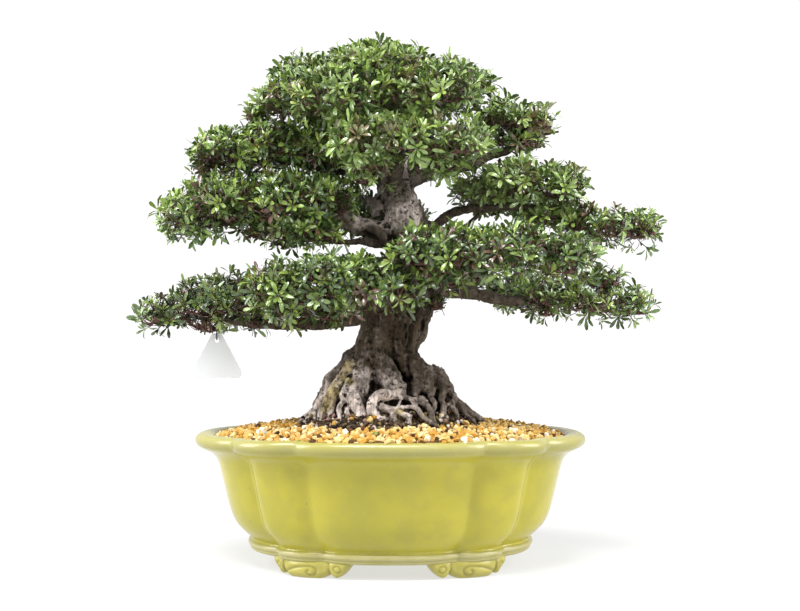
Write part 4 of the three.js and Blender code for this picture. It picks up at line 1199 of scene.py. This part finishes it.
grit, shader, wire = start_finish("grit", 0.9, Specular_IOR_Level=0.15)
place = place_on(wire)
tint, bedded = stored(wire, "tint"), stored(wire, "bed")
pores = mottle(place, 0.0016, 4.0, 0.65)
colour = tint.ramp(0.0, 0.5).mix((0.42, 0.215, 0.035), (0.62, 0.40, 0.12))
colour = tint.ramp(0.45, 0.8).mix(colour, (0.70, 0.54, 0.27))
colour = tint.ramp(0.88, 0.90, kind="LINEAR").mix(colour, (0.82, 0.74, 0.60))
colour = tint.ramp(0.93, 0.94, kind="LINEAR").mix(colour, (0.07, 0.035, 0.02))
colour = tint.ramp(0.985, 0.99, kind="LINEAR").mix(colour, (0.22, 0.28, 0.07))
colour = (pores.ramp(0.3, 0.5, 0.45, 0.0)).mix(colour, (0.30, 0.13, 0.03))
crust = pores.ramp(0.4, 0.7).mix((0.018, 0.012, 0.008), (0.11, 0.075, 0.035))
# the dark bed under the grains: painted shade in the gaps between them
gap_shade_colour = pores.mix((0.05, 0.022, 0.008), (0.20, 0.095, 0.03))
colour = bedded.ramp(0.4, 0.6).mix(colour, gap_shade_colour)
colour = bedded.ramp(1.4, 1.6).mix(colour, crust)
finish_with(shader, wire, colour=colour, relief=pores, height=0.0009)

gravel = new_piece("grain_heap", in_place(bed_points), bed_faces)
keep_numbers(gravel, "density", np.clip(0.5 + past_crust / 0.035, 0.05, 1) * (bed_points[:, 2] > 156.5)
             * (bed_share > 0.36))
sizes = {"Spacing": 0.0046, "Per square metre": 100000.0, "Seed": 4, "Lowest": -0.0010, "Highest": 0.0026,
         "Smallest": 0.58, "Largest": 1.26}
grow(gravel, scatter_recipe("scatter_grains", grain_box, grit, sizes))
print("grain triangles:", triangles(gravel))

# %% Join the bed to the grains
bed_kind = np.where(past_crust < 0, 2.0, 1.0)
add_to(gravel, in_place(bed_points), bed_faces, "bed", bed_kind)
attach(gravel, "root")
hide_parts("gravel")
print("grain heap triangles:", triangles(gravel))

# %% Crumbs of soil and moss at the trunk's foot
crumb_finish, shader, wire = start_finish("crumb", 0.95, Specular_IOR_Level=0.15)
place = place_on(wire)
tint, pores = stored(wire, "tint"), mottle(place, 0.0014, 4.0, 0.65)
colour = tint.ramp(0.0, 0.5).mix((0.020, 0.014, 0.010), (0.11, 0.075, 0.050))
colour = tint.ramp(0.52, 0.6).mix(colour, (0.22, 0.175, 0.06))
colour = tint.ramp(0.70, 0.72, kind="LINEAR").mix(colour, (0.34, 0.20, 0.16))
colour = tint.ramp(0.84, 0.85, kind="LINEAR").mix(colour, (0.62, 0.54, 0.48))
colour = pores.ramp(0.3, 0.55, 0.6, 0.0).mix(colour, (0.015, 0.011, 0.008))
finish_with(shader, wire, colour=colour, relief=pores, height=0.001)
crumbs = new_piece("soil_crumbs", in_place(bed_points), bed_faces)
keep_numbers(crumbs, "density", np.clip(0.4 - past_crust / 0.07, 0, 1) * (bed_points[:, 2] > 168)
             * (bed_share > 0.34))
sizes = {"Spacing": 0.0030, "Per square metre": 150000.0, "Seed": 8, "Lowest": -0.0010, "Highest": 0.0040,
         "Smallest": 0.22, "Largest": 0.78}
grow(crumbs, scatter_recipe("scatter_crumbs", grain_box, crumb_finish, sizes))
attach(crumbs, "root")
print("crumb triangles:", triangles(crumbs))

# %% [markdown]
# ## Soil and drain mesh
# Under the dressing lies dark granular soil, which fills the bowl and so has the pot's lobes. A square of
# plastic mesh covers each drain hole. It shows only from below, and its solid already has the right
# shape, so it keeps it and gets a better finish.

# %% Soil and drain mesh materials
earth, shader, wire = start_finish("earth", 0.95, Specular_IOR_Level=0.2)
place = place_on(wire)
lumps = wire.node("ShaderNodeTexVoronoi", {"Vector": place, "Scale": 260.0}, output="Distance")
grainy = mottle(place, 0.002, 5.0, 0.7)
finish_with(shader, wire, colour=grainy.ramp(0.35, 0.65).mix((0.025, 0.016, 0.01), (0.13, 0.085, 0.05)),
            relief=lumps * 0.7 + grainy * 0.5, height=0.0025)
netting, shader, wire = start_finish("netting", 0.5)
scuff = mottle(place_on(wire), 0.003)
finish_with(shader, wire, colour=scuff.mix((0.012, 0.012, 0.014), (0.035, 0.035, 0.04)),
            roughness=scuff.ramp(0.3, 0.7, 0.35, 0.65), relief=scuff, height=0.0002)
for node in ("drain_screen_left", "drain_screen_right"):
    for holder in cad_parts[node].material_slots:
        holder.material = netting
# Half-width and height of the soil in millimetres
FILLING = [(150, 34), (162, 34.6), (182, 49), (194.6, 66), (213.8, 130), (219, 149), (140, 165), (60, 166)]
rings = [lobed_ring(half_width, full_turn(BED_SIDES), height) for half_width, height in FILLING]
soil = new_piece("soil_fill", in_place(np.vstack(rings)), ring_faces(len(rings), BED_SIDES, capped=True),
                 earth)
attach(soil, "root")
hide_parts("soil")

# %% [markdown]
# ## The pads of foliage
# Each tier of leaves is a row of flattened clumps. A clump is a ball stretched to its size and made
# uneven with noise, and the parts of it that lie inside the next clump are dropped. Nothing of this
# shell is shown: it only says where a twig can end and which way its leaves look.

# %% Clumps x, y, z, half-width, half-depth, half-height in millimetres
PADS = {
    "crown": [(-18, 0, 624, 80, 84, 38), (-104, 0, 606, 54, 72, 34), (-142, -2, 593, 30, 48, 21),
              (-116, 0, 634, 24, 30, 18), (64, 0, 612, 57, 68, 32), (104, 0, 618, 25, 34, 17),
              (-58, -78, 591, 70, 38, 25), (48, -72, 594, 60, 36, 24), (-24, 84, 604, 100, 44, 28),
              (-180, 0, 578, 10, 14, 9)],
    "left_upper": [(-94, 10, 530, 38, 60, 27), (-152, 10, 535, 42, 60, 27), (-204, 8, 528, 38, 50, 26),
                   (-236, 4, 527, 20, 34, 20), (-242, 4, 505, 14, 22, 9)],
    "left_middle": [(-84, -30, 462, 38, 54, 27), (-142, -30, 460, 48, 62, 33), (-206, -30, 454, 46, 58, 34),
                    (-256, -30, 446, 37, 44, 30), (-118, -30, 422, 54, 38, 13)],
    "left_lower": [(-200, -14, 336, 40, 52, 29), (-244, -14, 332, 38, 48, 27), (-292, -14, 317, 31, 34, 19),
                   (-136, -20, 320, 34, 30, 15), (-88, -22, 322, 36, 26, 13), (-228, -14, 306, 18, 20, 9),
                   (-178, -12, 306, 14, 18, 7), (-250, -14, 308, 14, 18, 9)],
    "front_lower_left": [(-124, -96, 345, 44, 42, 32), (-78, -98, 353, 42, 44, 33),
                         (-34, -98, 353, 36, 40, 28), (10, -100, 346, 28, 36, 22)],
    "front_lower_right": [(34, -98, 392, 32, 38, 23), (86, -98, 389, 42, 42, 29), (66, -88, 364, 32, 26, 17),
                          (146, -96, 393, 46, 44, 30), (208, -94, 384, 42, 38, 27)],
    "right_middle": [(116, 0, 478, 28, 48, 19), (162, 0, 488, 44, 60, 25), (215, 0, 482, 35, 46, 25),
                     (198, 0, 444, 22, 32, 14)],
    "right_far": [(240, 0, 438, 28, 40, 18), (280, 0, 431, 32, 40, 21), (323, 0, 430, 27, 30, 20)],
    "right_lower": [(200, 8, 340, 40, 46, 18), (254, 4, 337, 40, 46, 22), (307, 0, 331, 32, 30, 20),
                    (276, 0, 364, 26, 28, 12), (62, -12, 332, 9, 12, 11), (204, 8, 322, 12, 16, 8)],
    "front_middle": [(-32, -92, 528, 40, 40, 25), (20, -94, 532, 42, 42, 26), (80, -90, 528, 44, 40, 25),
                     (-24, -76, 504, 34, 34, 19), (62, -64, 503, 32, 26, 9), (-34, -60, 488, 14, 16, 9)],
    "right_upper": [(150, 6, 574, 36, 44, 21), (187, 8, 570, 25, 34, 18), (168, 0, 542, 32, 26, 9)],
    "back_lower": [(-50, 142, 370, 52, 42, 24), (34, 138, 378, 44, 42, 25), (100, 140, 372, 36, 34, 20)],
    "back_middle": [(-104, 128, 448, 42, 38, 20), (-44, 130, 458, 46, 42, 22), (12, 130, 456, 30, 34, 18)],
    "back_upper": [(-60, 112, 534, 48, 38, 20), (14, 116, 540, 44, 42, 22), (78, 108, 534, 34, 34, 17)],
    "back_left_middle": [(-188, 106, 472, 44, 42, 22)],
    "back_right_middle": [(154, 118, 478, 46, 42, 22)],
    "back_left_lower": [(-156, 114, 342, 46, 44, 22)],
    "back_right_lower": [(186, 120, 350, 46, 44, 22)],
}
shell_ball, shell_faces = unit_ball(4)


def pad_shell(clumps):
    """Points and faces of a pad's uneven shell, without what lies inside its other clumps."""
    points, faces, start = [], [], 0
    for c, clump in enumerate(clumps):
        centre, half = np.array(clump[:3], dtype=float), np.array(clump[3:], dtype=float)
        swell = 1 + 0.16 * noise_at(shell_ball * half / 26 + centre / 40, 2)
        ball = centre + shell_ball * half * swell[:, None]
        middles = ball[np.array(shell_faces)].mean(axis=1)
        hidden = np.zeros(len(middles), dtype=bool)
        for other in clumps[:c] + clumps[c + 1:]:
            share = np.linalg.norm((middles - np.array(other[:3])) / np.array(other[3:]), axis=1)
            hidden |= share < 0.92
        faces += [tuple(i + start for i in face) for face, gone in zip(shell_faces, hidden) if not gone]
        points.append(ball)
        start += len(ball)
    return np.vstack(points), faces


shells = {name: pad_shell(clumps) for name, clumps in PADS.items()}
print("pads:", len(shells), "shell faces:", sum(len(faces) for _, faces in shells.values()))

# %% [markdown]
# ## The twigs
# From the branches, fine red-brown twigs fork twice on their way to the pads' surface. They show
# between the leaves and on the undersides. Each twig starts as a bare line of three points with a
# thickness, and a recipe bends the lines with noise and wraps them in thin four-sided tubes.

# %% Twig lines
chance = random.Random(21)
FORKS = 7  # at each of the two places where a twig forks


def some_way(a, b, rise):
    """The point halfway between two, moved sideways by chance and up or down."""
    reach = np.linalg.norm(b - a)
    sideways = [chance.uniform(-1, 1) * 0.12 * reach, chance.uniform(-1, 1) * 0.12 * reach]
    return a + (b - a) * 0.5 + np.array([*sideways, rise])


def twig_lines():
    """Lines of three points each, with a radius for each point, all in millimetres."""
    wood = np.vstack([smooth_route(line, 10) for line in BRANCHES + STEMS[:1]])
    lines = []
    for clumps in PADS.values():
        for x, y, z, half_width, half_depth, half_height in clumps:
            centre = np.array([x, y, z - 0.45 * half_height])
            near_wood = wood[np.linalg.norm(wood[:, :3] - centre, axis=1).argmin(), :3]
            if np.linalg.norm(near_wood - centre) > 14:
                lines.append((near_wood, some_way(near_wood, centre, 4), centre, (4.0, 3.2, 2.4)))
            half = np.array([half_width, half_depth, half_height])
            for fork in range(FORKS):
                angle = 2 * math.pi * (fork + chance.random() * 0.6) / FORKS
                out = np.array([math.cos(angle), math.sin(angle), chance.uniform(-0.35, 0.45)])
                hub = centre + out * half * chance.uniform(0.45, 0.62)
                lines.append((centre, some_way(centre, hub, -1.5), hub, (1.8, 1.4, 1.0)))
                for _ in range(FORKS):
                    tilt = chance.uniform(-0.75, 1.0)
                    turn = angle + chance.uniform(-0.7, 0.7)
                    flat = math.sqrt(max(0.0, 1 - tilt * tilt))
                    tip = np.array([math.cos(turn) * flat, math.sin(turn) * flat, tilt])
                    end = np.array([x, y, z]) + tip * half * 1.02
                    lines.append((hub, some_way(hub, end, -2.0), end, (0.9, 0.7, 0.5)))
    return lines


lines = twig_lines()
line_points = np.vstack([np.vstack(line[:3]) for line in lines])
line_girths = np.concatenate([line[3] for line in lines])
line_edges = [(3 * i + j, 3 * i + j + 1) for i in range(len(lines)) for j in (0, 1)]
print("twigs:", len(lines))

# %% Twig recipe
twig_wood, shader, wire = start_finish("twig", 0.75)
fleck = mottle(place_on(wire), 0.004, 4.0)
young = fleck.ramp(0.3, 0.7).mix((0.05, 0.022, 0.018), (0.24, 0.125, 0.10))
old = fleck.ramp(0.3, 0.7).mix((0.05, 0.038, 0.03), (0.22, 0.16, 0.125))
finish_with(shader, wire, colour=stored(wire, "girth").ramp(0.0012, 0.0024).mix(young, old), relief=fleck,
            height=0.0006)

twig_tubes, sockets = start_recipe("twig_tubes", {"Steps": 6, "Bend": 0.006, "Bend size": 22.0, "Sides": 4})
line = sockets["Geometry"].node("GeometryNodeMeshToCurve", {"Mesh": sockets["Geometry"]})
line = line.node("GeometryNodeResampleCurve", {"Curve": line, "Count": sockets["Steps"]})
wander = line.node("ShaderNodeTexNoise", {
    "Vector": line.node("GeometryNodeInputPosition"), "Scale": sockets["Bend size"], "Detail": 2.0},
    output="Color")
wander = line.vector("SUBTRACT", wander, (0.5, 0.5, 0.5))
ends = line.node("GeometryNodeSplineParameter", output="Factor")
bend = ends * (1.0 - ends) * 16.0 * sockets["Bend"]  # none at the ends
line = pushed(line, wander, bend)
girth_wire = line.node("GeometryNodeInputNamedAttribute", {"Name": "girth"}, data_type="FLOAT")
ring = line.node("GeometryNodeCurvePrimitiveCircle", {"Resolution": sockets["Sides"], "Radius": 1.0})
tubes = line.node("GeometryNodeCurveToMesh", {
    "Curve": line, "Profile Curve": ring, "Scale": girth_wire, "Fill Caps": True})
end_recipe(tubes, twig_wood)

twigs = new_piece("twigs", in_place(line_points), [], edges=line_edges)
keep_numbers(twigs, "girth", line_girths * MM)
grow(twigs, twig_tubes)
smooth_all(twigs)
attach(twigs, "root")
print("twig triangles:", triangles(twigs))

# %% [markdown]
# ## A whorl of leaves
# This azalea has narrow, glossy leaves, the longest a little over 20 mm, set in a whorl round each
# twig's tip, with two or three small upright new leaves in the middle. A leaf is a folded strip of
# three stations that arches over. Seven whorls are modelled, each with its own chance turns, and copied.

# %% Whorl shapes
STATIONS = ((0.24, 0.42), (0.62, 1.0), (0.88, 0.72))  # share of the length and of the half-width


def leaf_blade(length, width, turn, lift, droop, roll, start):
    """Points and faces of one leaf, and how far along and across it each point is."""
    out = np.array([math.cos(turn), math.sin(turn), 0.0])
    beside = np.array([-math.sin(turn), math.cos(turn), 0.0])
    up = np.array([0.0, 0.0, 1.0])
    beside = beside * math.cos(roll) + up * math.sin(roll)

    def rib(share):
        angle = lift - droop * share
        return start + length * share * (out * math.cos(angle) + up * math.sin(angle))

    points, along, across = [rib(0.0)], [0.0], [0.0]
    for share, wide in STATIONS:
        middle, half = rib(share), width * wide
        fold = 0.30 * half
        points += [middle - beside * half + up * fold, middle, middle + beside * half + up * fold]
        along += [share] * 3
        across += [-1.0, 0.0, 1.0]
    points.append(rib(1.0))
    along.append(1.0)
    across.append(0.0)
    faces = [(0, 2, 1), (0, 3, 2)]
    for row in (1, 4):
        faces += [(row, row + 1, row + 4, row + 3), (row + 1, row + 2, row + 5, row + 4)]
    faces += [(7, 8, 10), (8, 9, 10)]
    return np.array(points), faces, along, across


def build_whorl(name, chance):
    """A whorl of full-grown leaves round two or three new ones, on a short stem."""
    parts, numbers, leaves = [], {"along": [], "across": [], "young": [], "shade": []}, []
    count = chance.choice((5, 6, 6, 7))
    for i in range(count):
        turn = 2 * math.pi * (i + chance.uniform(-0.25, 0.25)) / count
        leaves.append((chance.uniform(14, 24), chance.uniform(2.3, 3.2), turn,
                       math.radians(chance.uniform(22, 72)), math.radians(chance.uniform(0, 38)),
                       chance.uniform(-0.35, 0.35), chance.uniform(-3, 2), 0.0))
    for _ in range(chance.choice((2, 3, 3))):
        turn = 2 * math.pi * chance.random()
        leaves.append((chance.uniform(7, 13), chance.uniform(1.5, 2.3), turn,
                       math.radians(chance.uniform(58, 80)), math.radians(chance.uniform(-10, 20)),
                       chance.uniform(-0.3, 0.3), 2.5, chance.uniform(0.5, 1)))
    for length, width, turn, lift, droop, roll, height, young in leaves:
        start = np.array([1.2 * math.cos(turn), 1.2 * math.sin(turn), height])
        points, faces, along, across = leaf_blade(length, width, turn, lift, droop, roll, start)
        parts.append((points, faces))
        numbers["along"] += along
        numbers["across"] += across
        numbers["young"] += [young] * len(points)
        numbers["shade"] += [chance.random()] * len(points)
    stem = np.array([(0.9 * math.cos(a), 0.9 * math.sin(a), z) for z in (-13, 3) for a in (0, 2.1, 4.2)])
    parts.append((stem, [(0, 1, 4, 3), (1, 2, 5, 4), (2, 0, 3, 5), (2, 1, 0), (3, 4, 5)]))
    for key, value in (("along", -1.0), ("across", 0.0), ("young", 0.0), ("shade", 0.5)):
        numbers[key] += [value] * 6
    points, faces = joined(*parts)
    whorl = new_piece(name, points * MM, faces)
    for key, values in numbers.items():
        keep_numbers(whorl, key, values)
    return whorl


chance = random.Random(5)
whorls = [build_whorl(f"whorl_{i}", chance) for i in range(7)]
print("triangles in a whorl:", [triangles(whorl) for whorl in whorls])
whorl_box = scrap_collection("whorls", whorls)

# %% [markdown]
# ## The leaf's finish
# A leaf is dark green and glossy above, with a paler rib. New leaves are yellow-green, and so is the
# base of an older one. Every whorl and every leaf has its own shade, and those deep in the pad are
# painted darker as painted shade, and each pad is painted lighter or darker as painted light and shade.
# The gloss is broken up a little by the leaf's own waviness, which also paints pale patches of sheen.

# %% Leaf material
leaf, shader, wire = start_finish("leaf", 0.3, Specular_IOR_Level=0.5, Coat_Weight=0.7, Coat_Roughness=0.13)
along, across, young, shade, tint, depth, pad_light_and_shade = (
    stored(wire, name) for name in ("along", "across", "young", "shade", "tint", "depth", "pad_light_and_shade"))
place = place_on(wire)
wavy_and_sheen = mottle(place, 0.005)
mature = (shade * 0.6 + tint * 0.4).ramp(0.2, 0.8).mix((0.026, 0.068, 0.012), (0.28, 0.42, 0.085))
# pale patches on the leaves: painted sheen
mature = (wavy_and_sheen.ramp(0.35, 0.7) * 0.35).mix(mature, (0.25, 0.38, 0.14))
# leaves deep in the pad darker: painted shade
mature = (depth * 0.85).mix(mature, (0.006, 0.012, 0.004))
fresh = shade.mix((0.30, 0.42, 0.06), (0.55, 0.58, 0.11))
tipped = tint.ramp(0.72, 0.9, 0.0, 0.45)
colour = (young * tint.ramp(0.1, 0.8, 0.35, 1.0)).mix(tipped.mix(mature, (0.30, 0.40, 0.06)), fresh)
colour = (tint.ramp(0.10, 0.05, kind="LINEAR") * young.ramp(0.3, 0.0)).mix(colour, (0.12, 0.05, 0.035))
rib = across.math("ABSOLUTE", across).ramp(0.0, 0.22, 1.0, 0.0) * along.ramp(0.2, 0.9, 1.0, 0.2)
colour = (rib * 0.45).mix(colour, (0.22, 0.33, 0.10))
colour = (along.ramp(0.0, 0.12, 0.7, 0.0)).mix(colour, (0.20, 0.26, 0.07))
colour = along.ramp(-0.6, -0.4, 1.0, 0.0).mix(colour, (0.13, 0.065, 0.04))
# each pad painted darker or lighter: painted light and shade
colour = pad_light_and_shade.ramp(-1.0, 0.0, 0.6, 0.0, kind="LINEAR").mix(colour, (0.012, 0.022, 0.006))
colour = pad_light_and_shade.ramp(0.0, 1.0, 0.0, 0.5, kind="LINEAR").mix(colour, (0.30, 0.42, 0.12))
finish_with(shader, wire, colour=colour, roughness=wavy_and_sheen.ramp(0.3, 0.7, 0.22, 0.42),
            relief=wavy_and_sheen * 0.5 + rib * -0.4, height=0.0007)

# %% [markdown]
# ## Growing the foliage
# The recipe strews points over a pad's shell, pushes each in or out by chance for depth, and sets a
# whorl there. A whorl looks outward and upward, as shoots turn to the light. How deep it sits is stored
# for the painted shade in the leaf's colour.

# %% Foliage recipe
def foliage_recipe(sizes):
    """Whorls on a pad's shell, at chance depths and turned outwards and up."""
    tree, sockets = start_recipe("foliage", sizes)
    spots = strewn_spots(sockets)
    normal = spots.beside("Normal")
    deep = pick(spots, 0.0, 1.0, 3) ** 1.6
    push = sockets["Highest"] - deep * (sockets["Highest"] - sockets["Lowest"])
    push = push + pick(spots, 0.0, 1.0, 17).ramp(0.90, 1.0) * sockets["Stray"]
    # how deep the whorl sits, for the painted shade of deep leaves
    kept = spots.node("GeometryNodeStoreNamedAttribute", {
        "Geometry": spots, "Name": "depth", "Value": deep}, data_type="FLOAT", domain="POINT")
    aim = spots.vector("MULTIPLY", normal, (0.75, 0.75, 0.75))
    aim = spots.vector("ADD", aim, (0.0, 0.0, 0.55))
    aim = spots.vector("ADD", aim, pick(spots, (-0.5, -0.5, -0.5), (0.5, 0.5, 0.5), 5, "FLOAT_VECTOR"))
    facing = spots.node("FunctionNodeAlignRotationToVector", {"Vector": aim}, axis="Z")
    spin = spots.node("FunctionNodeAxisAngleToRotation", {
        "Axis": (0.0, 0.0, 1.0), "Angle": pick(spots, 0.0, ROUND, 7)})
    facing = spots.node("FunctionNodeRotateRotation", {"Rotation": facing, "Rotate By": spin},
                        rotation_space="LOCAL")
    size = pick(spots, sockets["Smallest"], sockets["Largest"], 11)
    which = pick(spots, 0, 60, 9, "INT")
    end_recipe(set_copies(pushed(kept, normal, push), whorl_box, which, facing, size), leaf)
    return tree


foliage = foliage_recipe({"Spacing": 0.0064, "Per square metre": 30000.0, "Seed": 1, "Lowest": -0.026,
                          "Highest": 0.003, "Stray": 0.007, "Smallest": 0.54, "Largest": 0.98})
THINNER = {"left_lower": 0.8, "right_lower": 0.72, "right_far": 0.8, "right_upper": 0.8}
# Painted light and shade for each pad, from -1, painted darker, to 1, painted lighter
PAD_LIGHT_AND_SHADE = {"left_lower": -0.6, "right_middle": 0.55, "right_upper": 0.3, "crown": 0.2, "front_middle": 0.45,
         "front_lower_left": -0.3, "front_lower_right": -0.2}
total, most = 0, 0
for number, (name, (points, faces)) in enumerate(shells.items()):
    pad = new_piece(f"foliage_{name}", in_place(points), faces)
    normals = mesh_arrays(pad.data)[1]
    gaps = 0.5 + 0.5 * noise_at(points / 24 + 5.0)
    density = np.clip(0.9 + 0.5 * normals[:, 2], 0.5, 1.0) * np.clip(0.35 + 1.3 * gaps, 0.35, 1.0)
    keep_numbers(pad, "density", density * THINNER.get(name, 1.0))
    grow(pad, foliage, Seed=number + 1)
    keep_numbers(pad, "pad_light_and_shade", np.full(len(pad.data.vertices), PAD_LIGHT_AND_SHADE.get(name, 0.0)))
    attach(pad, "root")
    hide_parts(f"leaves_{name}")
    total, most = total + triangles(pad), max(most, triangles(pad))
print("foliage triangles:", total, "most in one piece:", most)
for thing in grain_shapes + whorls:
    bpy.data.objects.remove(thing)

# %% [markdown]
# ## Floor and light
# The tree stands on a plain white floor in even studio light: a wide, soft lamp overhead, a soft box to
# each side, a small one at the front and a pale sky that fills the shadows. The highlights on the
# glaze come from the boxes.

# %% Floor, lamps and sky
floor_finish, shader, wire = start_finish("floor", 0.9, Specular_IOR_Level=0.0, Emission_Strength=0.64)
shader.inputs["Emission Color"].default_value = (1.0, 1.0, 1.0, 1.0)
speck = mottle(place_on(wire), 0.5)
finish_with(shader, wire, colour=speck.mix((0.27, 0.27, 0.27), (0.28, 0.28, 0.28)))
corners = [(30 * x, 30 * y, -0.0004) for x, y in ((-1, -1), (1, -1), (1, 1), (-1, 1))]
floor = new_piece("floor", corners, [(0, 1, 2, 3)], floor_finish)


LAMP_AIM = Vector((0.0, 0.0, 0.3))


def soft_box(name, place, size, watts):
    """A lamp with a face that wide and high, turned to the trunk."""
    lamp = bpy.data.lights.new(name, "AREA")
    lamp.shape, lamp.size, lamp.size_y, lamp.energy = "RECTANGLE", size[0], size[1], watts
    holder = put_in_scene(name, lamp)
    holder.location = place
    holder.rotation_euler = (LAMP_AIM - Vector(place)).to_track_quat("-Z", "Y").to_euler()


soft_box("left", (-2.0, -0.6, 1.2), (0.9, 1.6), 58.0)
soft_box("right", (2.0, -0.6, 1.2), (0.9, 1.6), 52.0)
soft_box("front", (0.8, -2.4, 1.7), (0.4, 0.4), 11.0)
sun = bpy.data.lights.new("overhead", "SUN")
sun.energy, sun.angle = 3.9, math.radians(26)
put_in_scene("overhead", sun).rotation_euler = (math.radians(22), math.radians(-7), 0.0)

sky = bpy.data.worlds.new("sky")
sky.use_nodes = True
wire = Wire(sky.node_tree)
to_camera = wire.node("ShaderNodeLightPath", output="Is Camera Ray")
in_gloss = to_camera.beside("Is Glossy Ray")
strength = to_camera * 0.83 + in_gloss * 0.6 + 0.26
background = sky.node_tree.nodes["Background"].inputs
sky.node_tree.links.new(strength.socket, background["Strength"])
background["Color"].default_value = (1.0, 1.0, 1.0, 1.0)
bpy.context.scene.world = sky
